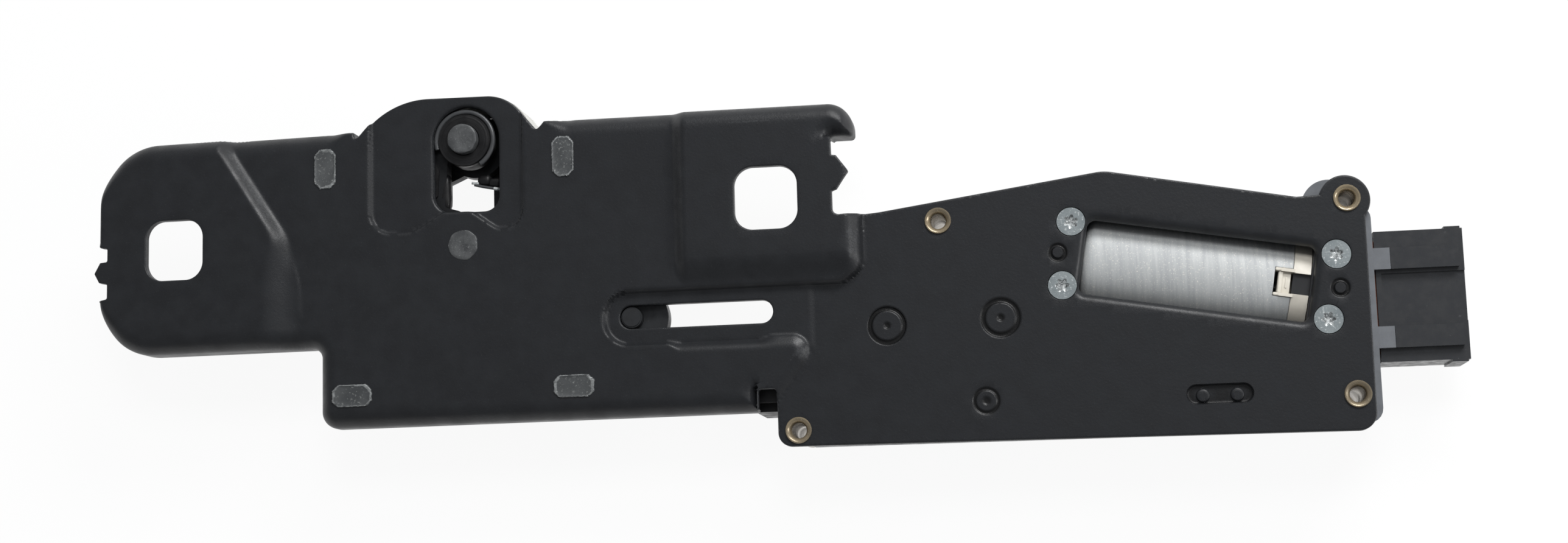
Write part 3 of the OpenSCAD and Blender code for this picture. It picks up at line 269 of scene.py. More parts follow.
def sheet_loops():
    """The sheet's outline and then its openings, with the radius at which the edge of each opening rolls off."""
    inner_hole = rounded([(x * HOLE, y * HOLE, HOLE_CORNER) for x, y in ((-1, -1), (1, -1), (1, 1), (-1, 1))])
    outer_hole = inner_hole * (0.955, 0.98) + np.array(mounts["outer_fixing_hole"][:2]) - (0.3, 0)
    cx, cy = catch_axis
    arch = ring((cx + 0.6, cy), 10.0, 0.35, 0.1, math.pi - 0.2)
    foot = rounded([(cx - 9.3, 1.1, 5.6), (cx + 10.55, 1.1, 4.6), (cx + 10.55, cy, 0), (cx - 9.35, cy, 0)])
    aperture = np.vstack([foot[:-2], arch])
    slot = stadium(slot_pin_at, slot_pin_at + (SLOT_RUN, 0), SLOT_R)
    w, h = WINDOW[0] / 2, WINDOW[1] / 2
    flat = rounded([(-w, -h, 2), (w, -h, 2), (w, h, 2.5), (-w, h, 2.5)])
    window = on_motor(WINDOW_MIDDLE) + flat[:, :1] * motor_dir[:2] + flat[:, 1:] * motor_side[:2]
    openings = [(inner_hole, 0.5), (outer_hole, 0.5), (aperture, 0.9), (slot, 0.45), (window, 2.4)]
    openings += [(ring(at, BUSH_HOLE_R), 0.25) for at in bushes]
    openings += [(ring(on_motor(s, o), SCREW_HOLE_R), 0.15) for s in SCREW_S for o in (-SCREW_OFF, SCREW_OFF)]

    arc = ring(LUG, LUG_R, 0.35, math.radians(-42), math.radians(210))
    body = rounded(SHEET_TOP + SHEET_LOW + LUG_FEET)
    corner = np.argmin(np.linalg.norm(body - np.array(LUG_FEET[0][:2]), axis=1))
    outline = np.vstack([arc, np.roll(body, -(corner + 2) % len(body), 0)[:-1]])
    loops = [spaced(outline, 1.2)] + [spaced(loop, 0.6) for loop, r in openings]
    return loops, [r for loop, r in openings]


def sheet_points(loops, rolls, slopes):
    """Plan of the skin: a grid, finer on the press steps, rings round the stamped marks and bands along the edges."""
    gx, gy = np.meshgrid(np.arange(-203, 171, GRID), np.arange(-74, 37, GRID))
    grid = np.stack([gx.ravel(), gy.ravel()], 1)
    used = np.zeros(gx.shape, bool)
    used[::COARSE, ::COARSE] = True
    used = used.ravel()
    for (line, width), past in zip(slopes, FINE_PAST):
        d = inside_distance(grid, line)
        used |= (d > -FINE_BEFORE) & (d < width + past)
    used |= np.abs(ear_inner_rise(grid) - 0.5) < 0.499
    used |= np.abs(grid[:, 0] - (JOGGLE_AT - 0.5)) < 1.3
    points = [grid[used]]
    points += [ring(at, r, 0.45) for at, radii in stamped_rings() for r in radii]
    points.append(oval_points())
    for loop, r in zip(loops[1:], rolls):
        normals = -inward_normals(loop)
        points += [loop + normals * share * r for share in (0.12, 0.35, 0.65, 1.0)]
    normals = inward_normals(loops[0])
    points += [loops[0] + normals * d for d in (0.08, 0.2, 0.4, 0.7, 1.1, 1.6, 2.1, 2.4, 2.62, 3.2, 4.0, 4.9, 5.8)]
    points = np.vstack(points)
    return points[edge_distance(points, loops) > 0.04]


def sheet_triangles(loops, points):
    """The plan's points and the triangles between them, but for those off the sheet."""
    edges, first = [], 0
    for loop in loops:
        n = len(loop)
        edges.extend((first + i, first + (i + 1) % n) for i in range(n))
        first += n
    corners = [Vector(v) for v in np.vstack(loops + [points])]
    plan, _, faces, *_ = delaunay_2d_cdt(corners, edges, [], 0, 1e-5)
    plan = np.array([tuple(v) for v in plan])
    faces = np.array([f for f in faces if len(f) == 3])
    return plan, faces[edge_distance(plan[faces].mean(1), loops) > 0]


def sheet_heights(plan, loops, rolls, slopes):
    """Heights of the front and of the underside over the plan, and the coat's wear towards the edges."""
    outline_d = inside_distance(plan, loops[0])
    z = level(plan, slopes)
    turned = rim_turned(plan)
    r_edge = np.where(turned, edge_roll(plan), CUT_ROLL)
    drop = roll_off(outline_d, r_edge)
    wear_and_sheen = np.exp(-np.clip(outline_d, 0, None) / OUTLINE_WEAR)
    for loop, r in zip(loops[1:], rolls):
        d = -inside_distance(plan, loop)
        drop = np.maximum(drop, roll_off(d, r))
        wear_and_sheen = np.maximum(wear_and_sheen, np.exp(-np.clip(d, 0, None) / OPENING_WEAR))
    top = z - drop
    under = z - SHEET - np.where(turned, roll_off(outline_d - SHEET, np.maximum(r_edge - SHEET, 0.3)), 0)
    under = np.where(turned & (outline_d < SHEET), RIM, under)
    return top, np.minimum(under, top - 0.05), wear_and_sheen


def sheet_object():
    """The pressed carrier sheet: one skin over every level, with rolled edges, a turned-down rim and its underside."""
    loops, rolls = sheet_loops()
    slopes = [(rounded(EAR_OUTER, 1), EAR_STEP), (rounded(RECESS_CORNERS, 0.8), RECESS_STEP),
              (drive_floor_outline(), DRIVE_STEP)]
    plan, faces = sheet_triangles(loops, sheet_points(loops, rolls, slopes))
    top, under, wear_and_sheen = sheet_heights(plan, loops, rolls, slopes)

    sides = dict.fromkeys((a, b) for f in faces for a, b in ((f[0], f[1]), (f[1], f[2]), (f[2], f[0])))
    rim = [(a, b) for a, b in sides if (b, a) not in sides]
    n = len(plan)
    tris = [tuple(f) for f in faces] + [tuple(f[::-1] + n) for f in faces]
    quads = [(b, a, a + n, b + n) for a, b in rim]
    coords = np.vstack([np.column_stack([plan, top]), np.column_stack([plan, under])]) * MM
    mesh = bpy.data.meshes.new("carrier_sheet")
    mesh.from_pydata(coords.tolist(), [], tris + quads)
    # The edge attribute holds the coat's wear and, on top of it, the painted highlights of the press steps
    paint(mesh, "edge_wear_and_sheen", np.maximum(wear_and_sheen, PAINTED_SHEEN * painted_sheen(plan, slopes)))
    # Painted shade: the darkening of the stamped grooves and the oval pocket
    paint(mesh, "painted_groove_shade", painted_groove_shades(plan))
    mesh.shade_smooth()
    mesh.set_sharp_from_angle(angle=math.radians(50))
    drop_loose(mesh)
    return add_object(mesh)


def drop_loose(mesh):
    """Drops loose points, so that the mesh is only its skin."""
    bm = bmesh.new()
    bm.from_mesh(mesh)
    bmesh.ops.delete(bm, geom=[v for v in bm.verts if not v.link_faces], context="VERTS")
    bm.to_mesh(mesh)
    bm.free()


def inward_normals(loop):
    """Unit vectors from the points of a closed outline into what it encloses."""
    along = np.roll(loop, -1, 0) - np.roll(loop, 1, 0)
    along /= np.linalg.norm(along, axis=1)[:, None]
    area = (loop[:, 0] * np.roll(loop, -1, 0)[:, 1] - np.roll(loop, -1, 0)[:, 0] * loop[:, 1]).sum()
    return np.stack([-along[:, 1], along[:, 0]], 1) * (1 if area > 0 else -1)


def edge_distance(points, loops):
    """Distance to the nearest free edge, negative off the sheet."""
    d = inside_distance(points, loops[0])
    for loop in loops[1:]:
        d = np.minimum(d, -inside_distance(points, loop))
    return d


def edge_roll(plan):
    """Radius of the turned edge: wide along the long sides, and tight at the ear's notched end."""
    x, y = plan[:, 0], plan[:, 1]
    end = smooth((-188 - x) / 8) * (1 - smooth((np.abs(y + 6) - 13) / 13))
    for notch in DOME_NOTCHES:
        end = np.maximum(end, smooth((9 - np.abs(x - notch)) / 8) * (y > 10))
    return SIDE_ROLL + (END_ROLL - SIDE_ROLL) * end


def rim_turned(plan):
    """Where the outline's edge is turned down: everywhere but at the dome and round the drive plate."""
    x, y = plan[:, 0], plan[:, 1]
    dome = (x > -123.2) & (x < -66.8) & (y > 15)
    drive = ((x > -4.5) & (y < -50)) | (x > 26.5) | ((x > 12) & (y < 17))
    notches = (x < -190) & (y < -4.2) & (y > -21.2)
    return ~(dome | drive | notches)


# The small oval pocket: the middles of its ends, its radius and its two pins
OVAL = ((119.6, -61.4), (132.6, -61.4), 2.65)
OVAL_PINS = ((121.4, -61.7), (130.9, -61.7))

# Ring grooves of the stamped marks: place, radius, half width, depth
GROOVES = [(output_axis, 4.9, 0.85, 0.6), (output_axis, 0.0, 1.2, 0.5), (wheel_axis, 5.0, 0.95, 0.6),
           (wheel_axis, 0.0, 1.3, 0.5), (post_axis, 3.4, 0.7, 0.45), (post_axis, 0.0, 1.5, 0.35)]
GROOVES += [(on_motor(s), 2.15, 0.7, 0.6) for s in DOWEL_S]


def stamped_rings():
    """Centre of each stamped mark, with the radii at which the sheet needs points for it."""
    marks = [(output_axis, 6.2), (wheel_axis, 6.4), (post_axis, 4.4)]
    marks += [(on_motor(s), 3.2) for s in DOWEL_S]
    return [(at, np.arange(0.25, r, 0.25)) for at, r in marks]


def oval_points():
    """Points for the small oval pocket and its two pins."""
    pts = [spaced(stadium(OVAL[0], OVAL[1], OVAL[2] + d, 0.4), 0.4) for d in (-1.0, -0.45, -0.2, 0.0, 0.25, 0.5)]
    pts += [ring(at, r, 0.3) for at in OVAL_PINS for r in (0.8, 1.5, 1.8, 2.0)]
    return np.vstack(pts)


def groove(rho, r, half_width, depth):
    """A ring groove of that depth at the radius r."""
    t = np.clip(1 - np.abs(rho - r) / half_width, 0, 1)
    return -depth * smooth(t * 1.6)


def ear_inner_rise(plan):
    """How far the sheet has risen to the inner ear, with a slope of its own width on each side."""
    x, y = plan[:, 0], plan[:, 1]
    left = np.clip(1 - (x - EAR_INNER_LEFT[0]) / EAR_INNER_LEFT[1], 0, 1)
    right = np.clip(1 - (EAR_INNER_RIGHT[0] - x) / EAR_INNER_RIGHT[1], 0, 1)
    low = np.clip(1 - (y - EAR_INNER_LOW[0]) / EAR_INNER_LOW[1], 0, 1)
    return np.clip(1 - np.hypot(np.maximum(left, right), low), 0, 1)


def away(plan, at):
    """Distance of each point to one place."""
    return np.linalg.norm(plan - np.array(at), axis=1)


def oval_pocket(plan, pin_r):
    """How far each point is inside the oval pocket, and its share of one of the pins."""
    pocket = inside_distance(plan, spaced(stadium(OVAL[0], OVAL[1], OVAL[2] + 0.2, 0.4), 0.5))
    return pocket, np.max([smooth((pin_r - away(plan, at)) / 0.3) for at in OVAL_PINS], axis=0)


def level(plan, slopes):
    """Height of the sheet's front over the plan, with its press steps and stamped marks."""
    (ear_outer, w_outer), (recess, w_recess), (drive, w_drive) = slopes
    x, y = plan[:, 0], plan[:, 1]
    d_ear = inside_distance(plan, ear_outer)
    d_drive = inside_distance(plan, drive)

    # The ears and the latch's recess. The outer ear's step widens to its foot, and a fine ridge runs along it
    z = np.full(len(plan), PLATEAU)
    z = z + (EAR - PLATEAU) * smooth(d_ear / (w_outer + EAR_FOOT_STEP * smooth(-y / 22)))
    z = z + RIDGE * smooth((d_ear + 0.2) / 0.6) * smooth((-8 - y) / 8) * smooth((y + 30) / 4) * (1 - smooth(d_ear / 5))
    z = z + (EAR - PLATEAU) * smooth(ear_inner_rise(plan))
    z = z + (RECESS - z) * smooth(inside_distance(plan, recess) / w_recess)

    # The drive's level: its step is tight at the inner ear, and a rounded lip round the slot and the diagonal
    lip = smooth((-36.5 - y) / 3) * smooth((x + 30) / 4)
    width = 1.3 + 1.8 * lip + (w_drive - 3.1) * smooth((x + 4) / 6) * lip
    share = (d_drive + 0.1 + 2.3 * lip) / width
    z = z + (DRIVE - z) * ((1 - lip) * smooth(share) + lip * np.clip(share, 0, 1) ** 2)

    # The joggle, which lifts the slot's end of that level
    left = np.where(y > -26, smooth((26.8 - x) / 0.5), 1.0)
    z = z + JOGGLE * smooth((JOGGLE_AT - x) / 0.8) * smooth(d_drive / 1.2) * smooth((y + 45) / 2.5) * left

    for at, r, half, depth in GROOVES:
        z += groove(away(plan, at), r, half, depth)
    pocket, pins = oval_pocket(plan, 2.0)
    z -= 1.1 * smooth(pocket / 0.5) * (1 - 0.75 * pins)
    return z


def painted_sheen(plan, slopes):
    """Painted highlights: where the coat's grain is painted light in place of the light on the turns of the ears, the
    slot and the diagonal.
    """
    x, y = plan[:, 0], plan[:, 1]
    ear = inside_distance(plan, slopes[0][0])
    drive = inside_distance(plan, slopes[2][0])
    sheen_bands = [
        # The inner ear's top edge, the outer ear's step and the inner ear's right end
        (1 - np.abs(y - 22.6 - 0.012 * x) / 1.9) * smooth((x + 26) / 18) * smooth((21 - x) / 3),
        (1 - np.abs(ear - 1.7) / 2.3) * smooth((y + 4) / 8) * smooth((25.5 - y) / 3) * 1.25,
        np.clip(1 - np.abs(x - 24.0) / 2.4, 0, 1) * np.clip(1 - np.abs(y + 14) / 8, 0, 1) * 2.2,
        # The slot's lip, the head of the diagonal and the top edge right of the dome
        (1 - np.abs(drive + 2.1) / 1.6) * smooth((x + 24) / 16) * smooth((12 - x) / 4) * (np.abs(y + 42.5) < 6),
        (1 - np.hypot(x - 8.9, y + 44.5) / 4.2) * 1.8,
        (1 - np.abs(y - 22.8) / 2.6) * smooth((x + 64) / 6) * smooth((-34 - x) / 10) * 0.5]
    return np.clip(np.max(sheen_bands, axis=0), 0, 1)


def painted_groove_shades(plan):
    """Where shade is painted in, darkening the coat: in the stamped grooves and the oval pocket."""
    dark = np.zeros(len(plan))
    for at, r, half, depth in GROOVES:
        dark = np.maximum(dark, smooth(1.35 - np.abs(away(plan, at) - r) / half))
    pocket, pins = oval_pocket(plan, 2.2)
    return np.maximum(dark, 0.75 * smooth(pocket / 0.4) * (1 - pins))


# Making objects


def add_object(mesh):
    """A new object for the mesh, in the scene."""
    obj = bpy.data.objects.new(mesh.name, mesh)
    scene.collection.objects.link(obj)
    return obj


def joined(name, parts, sharp=40):
    """An object from (verts, faces) parts in millimetres, smooth but for edges over the sharp angle."""
    verts, faces = [], []
    for part_verts, part_faces in parts:
        first = len(verts)
        verts.extend(part_verts)
        faces.extend(tuple(i + first for i in f) for f in part_faces)
    mesh = bpy.data.meshes.new(name)
    mesh.from_pydata((np.array(verts) * MM).tolist(), [], faces)
    mesh.shade_smooth()
    mesh.set_sharp_from_angle(angle=math.radians(sharp))
    return add_object(mesh)


def bands(rows, n):
    """The faces between rows of n points, each row closed on itself."""
    return [(i * n + k, i * n + (k + 1) % n, (i + 1) * n + (k + 1) % n, (i + 1) * n + k)
            for i in range(rows - 1) for k in range(n)]


def paint(mesh, name, values):
    """A value for each point of the mesh, and 0 for the points past the last value."""
    full = np.zeros(len(mesh.vertices), np.float32)
    full[:len(values)] = values
    mesh.attributes.new(name, "FLOAT", "POINT").data.foreach_set("value", full)


def soften(obj, name, width, segments=2, **settings):
    """A bevel on an object's edges, with its width in millimetres."""
    bevel = obj.modifiers.new(name, "BEVEL")
    bevel.width = width * MM
    bevel.segments = segments
    for key, value in settings.items():
        setattr(bevel, key, value)


def turned_part(profile, at, sides, shape=None, close=False):
    """A body turned about +Z at a point, from (radius, height) points from the outer bottom to the inner end."""
    verts, faces = [], []
    for k in range(sides):
        a = 2 * math.pi * k / sides
        for i, (r, z) in enumerate(profile):
            if shape:
                r, z = shape(r, z, a, i)
            verts.append((at[0] + r * math.cos(a), at[1] + r * math.sin(a), z))
    n = len(profile)
    for k in range(sides):
        j = (k + 1) % sides
        for i in range(n - 1):
            faces.append((k * n + i, j * n + i, j * n + i + 1, k * n + i + 1))
    if close:
        faces.append(tuple(k * n + n - 1 for k in range(sides)))
        faces.append(tuple(k * n for k in range(sides))[::-1])
    return verts, faces


def tube(path, r, sides=14):
    """A round wire along a path."""
    path = np.array(path, float)
    verts = []
    side = None
    for i, p in enumerate(path):
        t = path[min(i + 1, len(path) - 1)] - path[max(i - 1, 0)]
        t /= np.linalg.norm(t)
        side = np.cross(t, (0, 0, 1.0)) if side is None else side - t * (side @ t)
        side /= np.linalg.norm(side)
        up = np.cross(side, t)
        for k in range(sides):
            a = 2 * math.pi * k / sides
            verts.append(tuple(p + r * (math.cos(a) * side + math.sin(a) * up)))
    faces = [(a, d, c, b) for a, b, c, d in bands(len(path), sides)]
    last = (len(path) - 1) * sides
    faces.append(tuple(range(sides)))
    faces.append(tuple(last + k for k in range(sides))[::-1])
    return verts, faces


# Finishes


def new_group(name, inputs, outputs):
    """An empty shader group with named sockets: (name, type, default) in, (name, type) out."""
    group = bpy.data.node_groups.new(name, "ShaderNodeTree")
    for socket, kind, value in inputs:
        made = group.interface.new_socket(socket, in_out="INPUT", socket_type=kind)
        made.default_value = value
    for socket, kind in outputs:
        group.interface.new_socket(socket, in_out="OUTPUT", socket_type=kind)
    return group, group.nodes.new("NodeGroupInput"), group.nodes.new("NodeGroupOutput")


def node(tree, kind, links=(), **settings):
    """A node in a tree, with its settings and its linked or plain inputs."""
    made = tree.nodes.new(kind)
    for key, value in settings.items():
        setattr(made, key, value)
    for socket, value in dict(links).items():
        target = made.inputs[socket]
        if isinstance(value, bpy.types.NodeSocket):
            tree.links.new(value, target)
        else:
            target.default_value = value
    return made


def maths(tree, operation, a, b):
    """The result of an operation on two values."""
    return node(tree, "ShaderNodeMath", {0: a, 1: b}, operation=operation).outputs[0]


def colour_mix(tree, factor, a, b):
    """The colour from a to b, by a factor."""
    mix = node(tree, "ShaderNodeMix", {"Factor": factor, "A": a, "B": b}, data_type="RGBA")
    return next(s for s in mix.outputs if s.type == "RGBA")


def grain_group():
    """Fine grain: a height for a bump and a mask, from noise at two sizes."""
    group, given, out = new_group(
        "surface_grain",
        [("Grain Size", "NodeSocketFloat", 0.4), ("Stretch", "NodeSocketVector", (1, 1, 1)),
         ("Turn", "NodeSocketFloat", 0.0)],
        [("Height", "NodeSocketFloat"), ("Mask", "NodeSocketFloat")])
    place = node(group, "ShaderNodeTexCoord")
    turn = node(group, "ShaderNodeCombineXYZ", {"Z": given.outputs["Turn"]})
    mapped = node(group, "ShaderNodeMapping", {"Vector": place.outputs["Object"], "Rotation": turn.outputs[0],
                                               "Scale": given.outputs["Stretch"]}).outputs[0]
    rate = maths(group, "DIVIDE", 1000.0, given.outputs["Grain Size"])
    fine = node(group, "ShaderNodeTexNoise", {"Vector": mapped, "Scale": rate, "Detail": 3.0, "Roughness": 0.6})
    slow = maths(group, "MULTIPLY", rate, 0.13)
    broad = node(group, "ShaderNodeTexNoise", {"Vector": mapped, "Scale": slow, "Detail": 4.0, "Roughness": 0.55})
    both = maths(group, "ADD", fine.outputs["Fac"], broad.outputs["Fac"])
    mask = node(group, "ShaderNodeMapRange", {"Value": broad.outputs["Fac"], "From Min": 0.35, "From Max": 0.65})
    group.links.new(maths(group, "MULTIPLY", both, 0.5), out.inputs["Height"])
    group.links.new(mask.outputs[0], out.inputs["Mask"])
    return group


def tint_group():
    """Two close tones of a colour, mixed by a mask, with a third for specks."""
    group, given, out = new_group(
        "tone_mix",
        [("Tone", "NodeSocketColor", (0.5, 0.5, 0.5, 1)), ("Other Tone", "NodeSocketColor", (0.4, 0.4, 0.4, 1)),
         ("Speck Tone", "NodeSocketColor", (0.8, 0.8, 0.8, 1)), ("Mask", "NodeSocketFloat", 0.5),
         ("Specks", "NodeSocketFloat", 0.1), ("Speck Size", "NodeSocketFloat", 1.0)],
        [("Color", "NodeSocketColor")])
    place = node(group, "ShaderNodeTexCoord")
    rate = maths(group, "DIVIDE", 1000.0, given.outputs["Speck Size"])
    cells = node(group, "ShaderNodeTexNoise", {"Vector": place.outputs["Object"], "Scale": rate, "Detail": 2.0})
    edge = maths(group, "SUBTRACT", 0.80, given.outputs["Specks"])
    speck = node(group, "ShaderNodeMapRange", {"Value": cells.outputs["Fac"], "From Min": edge, "From Max": 0.86})
    base = colour_mix(group, given.outputs["Mask"], given.outputs["Tone"], given.outputs["Other Tone"])
    full = colour_mix(group, speck.outputs[0], base, given.outputs["Speck Tone"])
    group.links.new(full, out.inputs["Color"])
    return group


GROUPS = {}
# Near-black of the painted shade in the stamped grooves and the oval pocket
SHADE = (0.002, 0.002, 0.0022, 1)


def finish(name, tone, other, rough, metal=0.0, speck=None, specks=0.05, speck_size=1.2, grain=0.4,
           stretch=(1, 1, 1), turn=0.0, bump=0.03, rough_spread=0.12, wear_and_sheen=None, specular=0.5):
    """A finish: two tones with specks, a grain for the bump and the gloss, and, if wear_and_sheen gives a tone, that
    tone on the edges' wear and on painted highlights.
    """
    mat = bpy.data.materials.new(name)
    mat.use_nodes = True
    tree = mat.node_tree
    tree.nodes.clear()
    grained = node(tree, "ShaderNodeGroup", {"Grain Size": grain, "Stretch": stretch, "Turn": turn},
                   node_tree=GROUPS["grain"])
    tones = node(tree, "ShaderNodeGroup",
                 {"Tone": (*tone, 1), "Other Tone": (*other, 1), "Speck Tone": (*(speck or tone), 1),
                  "Specks": specks, "Speck Size": speck_size, "Mask": grained.outputs["Mask"]},
                 node_tree=GROUPS["tint"])
    colour = tones.outputs["Color"]
    if wear_and_sheen:
        # The light tone where the edge attribute is high: the worn edges, and the painted highlights on the sheet's
        # press steps and the tenons' rims
        edge = node(tree, "ShaderNodeAttribute", attribute_name="edge_wear_and_sheen")
        cut = maths(tree, "MULTIPLY", edge.outputs["Fac"], grained.outputs["Height"])
        share = node(tree, "ShaderNodeMapRange", {"Value": cut, "From Min": 0.36, "From Max": 0.62})
        colour = colour_mix(tree, share.outputs[0], colour, (*wear_and_sheen, 1))
        # Painted shade: the colour darkens to SHADE in the stamped grooves and the oval pocket
        line = node(tree, "ShaderNodeAttribute", attribute_name="painted_groove_shade")
        colour = colour_mix(tree, line.outputs["Fac"], colour, SHADE)
    gloss = node(tree, "ShaderNodeMapRange", {"Value": grained.outputs["Mask"], "To Min": rough - rough_spread,
                                              "To Max": rough + rough_spread})
    lift = node(tree, "ShaderNodeBump", {"Height": grained.outputs["Height"], "Strength": 0.6, "Distance": bump * MM})
    skin = node(tree, "ShaderNodeBsdfPrincipled", {
        "Base Color": colour, "Roughness": gloss.outputs[0], "Normal": lift.outputs[0], "Metallic": metal,
        "Specular IOR Level": specular})
    node(tree, "ShaderNodeOutputMaterial", {"Surface": skin.outputs[0]})
    return mat


def make_finishes():
    """Every finish of the part, by a short name."""
    GROUPS["grain"] = grain_group()
    GROUPS["tint"] = tint_group()
    tilt = math.atan2(motor_dir[1], motor_dir[0])
    return {
        # Coated, black and bare steel
        # The coat's lighter third tone goes on its worn edges and on the painted highlights of its press steps
        "coat": finish(
            "satin_black_coat", (0.0136, 0.0146, 0.0165), (0.0094, 0.0101, 0.0117), 0.42,
            speck=(0.026, 0.027, 0.029), specks=0.16, speck_size=0.5, grain=0.75, bump=0.16, rough_spread=0.05,
            wear_and_sheen=(0.05, 0.053, 0.056), specular=0.36),
        "peened": finish(
            "peened_steel", (0.08, 0.083, 0.085), (0.034, 0.036, 0.038), 0.46, metal=0.15,
            speck=(0.2, 0.21, 0.21), specks=0.18, speck_size=0.5, grain=0.42, bump=0.12),
        # The tenon's light third tone goes on its burred rims: wear, and a painted highlight where the light would
        # catch them
        "tenon": finish(
            "flattened_steel", (0.074, 0.078, 0.08), (0.042, 0.045, 0.047), 0.44, metal=0.15,
            speck=(0.25, 0.26, 0.25), specks=0.2, speck_size=0.6, grain=0.9, bump=0.14, wear_and_sheen=(0.24, 0.25, 0.25)),
        "dark_steel": finish(
            "phosphated_steel", (0.035, 0.037, 0.04), (0.022, 0.023, 0.025), 0.45, metal=0.5,
            speck=(0.12, 0.12, 0.12), grain=0.6),
        "catch_steel": finish(
            "oil_black_steel", (0.01, 0.0105, 0.0115), (0.0075, 0.008, 0.009), 0.5, metal=0.1, grain=0.6,
            specular=0.3),
        "bare_steel": finish(
            "oiled_steel", (0.3, 0.31, 0.32), (0.2, 0.21, 0.22), 0.34, metal=0.9,
            speck=(0.4, 0.4, 0.4), grain=0.5, stretch=(0.3, 1, 1), bump=0.02),
        "spring": finish(
            "spring_wire", (0.06, 0.062, 0.065), (0.04, 0.042, 0.045), 0.36, metal=0.2, grain=0.5, bump=0.02),
        "iron": finish(
            "dark_iron", (0.07, 0.065, 0.06), (0.04, 0.038, 0.036), 0.6, metal=0.4, grain=0.5, bump=0.04),

        # Plated and yellow metal
        "zinc": finish(
            "bright_zinc", (0.36, 0.4, 0.41), (0.22, 0.25, 0.26), 0.32, metal=0.6,
            speck=(0.85, 0.88, 0.88), specks=0.22, speck_size=0.6, grain=0.8, bump=0.05, rough_spread=0.1),
        # Near-white with dark mottling: painted reflections in the screws' recesses and painted glints on the spring
        # leg's ends
        "recess": finish(
            "painted_glint", (0.8, 0.83, 0.83), (0.1, 0.11, 0.115), 0.22, metal=0.4,
            speck=(0.95, 0.95, 0.95), specks=0.2, speck_size=0.5, grain=0.11, bump=0.05),
        "can": finish(
            "drawn_motor_can", (0.4, 0.412, 0.412), (0.33, 0.343, 0.35), 0.6, metal=0.08,
            speck=(0.78, 0.75, 0.66), specks=0.2, speck_size=0.4, grain=0.45, stretch=(3.0, 0.22, 0.22), turn=-tilt,
            bump=0.012, rough_spread=0.05),
        "sleeve": finish(
            "yellow_zinc_sleeve", (0.34, 0.275, 0.18), (0.2, 0.165, 0.115), 0.28, metal=0.55,
            speck=(0.8, 0.72, 0.52), specks=0.12, speck_size=0.6, grain=1.1),
        "brass": finish(
            "plain_brass", (0.62, 0.46, 0.2), (0.48, 0.35, 0.15), 0.33, metal=0.9, grain=0.5, bump=0.02),

        # Plastics and rubber
        "cream": finish(
            "cream_acetal", (0.6, 0.57, 0.5), (0.52, 0.49, 0.43), 0.42,
            speck=(0.66, 0.64, 0.58), grain=0.6, bump=0.01),
        "pale": finish("pale_plastic", (0.55, 0.55, 0.52), (0.46, 0.46, 0.43), 0.5, grain=0.6, bump=0.02),
        "housing": finish(
            "grey_housing", (0.125, 0.132, 0.143), (0.095, 0.101, 0.11), 0.42,
            speck=(0.26, 0.27, 0.28), grain=0.5, bump=0.02),
        "connector": finish(
            "connector_plastic", (0.0245, 0.0258, 0.0285), (0.0175, 0.0185, 0.0205), 0.36,
            speck=(0.08, 0.08, 0.085), grain=0.35, bump=0.02),
        "black": finish("black_plastic", (0.018, 0.0185, 0.02), (0.012, 0.0125, 0.014), 0.45, bump=0.02),
        "rubber": finish(
            "soft_black", (0.006, 0.006, 0.0065), (0.009, 0.009, 0.0095), 0.42, grain=0.5, specular=0.3),
        "seal": finish("seal_rubber", (0.16, 0.06, 0.035), (0.12, 0.045, 0.03), 0.55, grain=0.5, bump=0.02),
        "wire": finish("lead_jacket", (0.3, 0.03, 0.025), (0.22, 0.02, 0.02), 0.45, bump=0.01),
    }


FINISH_NODES = {
    "coat": "carrier_plate",
    "peened": "catch_pivot_pin pawl_pivot_stud",
    "dark_steel": "latch_back_plate closing_lever slot_pin drive_rack pull_link",
    "catch_steel": "rotary_catch",
    "bare_steel": "pawl output_axle worm_wheel_axle support_post motor_shaft",
    "spring": "catch_spring pawl_spring",
    "iron": "motor_rotor motor_magnets motor_brushes",
    "zinc": "latch_cover_screws closing_lever_pin carrier_screws",
    "can": "motor_can",
    "sleeve": "bush_sleeves",
    "brass": "worm motor_commutator motor_front_bearing motor_rear_bearing connector_terminals",
    "cream": "output_gear worm_wheel worm_end_bearing motor_end_cap",
    "pale": "latch_frame rack_guide",
    "housing": "gear_housing",
    "connector": "connector_shell",
    "black": "latch_rear_cover catch_switch pawl_switch front_motor_bracket rear_motor_bracket terminal_carrier",
    # lead_grommet is a black block in the sheet's notch at its lower edge; its black paints the shade there
    "rubber": "catch_jacket switch_lead lead_grommet",
    "seal": "connector_seal",
    "wire": "motor_leads",
}
BEVEL_NODES = {
    0.25: "latch_back_plate drive_rack motor_end_cap connector_shell catch_pivot_pin pawl_pivot_stud",
    0.3: "latch_frame front_motor_bracket rear_motor_bracket pawl slot_pin",
    0.35: "gear_housing catch_jacket",
    0.4: "rotary_catch closing_lever pull_link",
    0.6: "latch_rear_cover",
}


def by_node(table):
    """The table's keys by the names of the nodes that each one lists."""
    return {name: key for key, names in table.items() for name in names.split()}


def dress_nodes(looks):
    """Gives every node its finish, and softens the edges of those that show."""
    finish_of, bevel_of = by_node(FINISH_NODES), by_node(BEVEL_NODES)
    for name, obj in nodes.items():
        if not obj.material_slots:
            obj.data.materials.append(None)
        for place in obj.material_slots:
            place.link = "OBJECT"
            place.material = looks[finish_of[name]]
        if name in bevel_of:
            soften(obj, "soft_edges", bevel_of[name], limit_method="ANGLE", angle_limit=math.radians(35),
                   use_clamp_overlap=True, harden_normals=True)


def dressed(obj, material, body="carrier"):
    """The piece gets its finish and the body it rides on."""
    obj.data.materials.clear()
    obj.data.materials.append(material)
    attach(obj, body)
    return obj


# Fixings


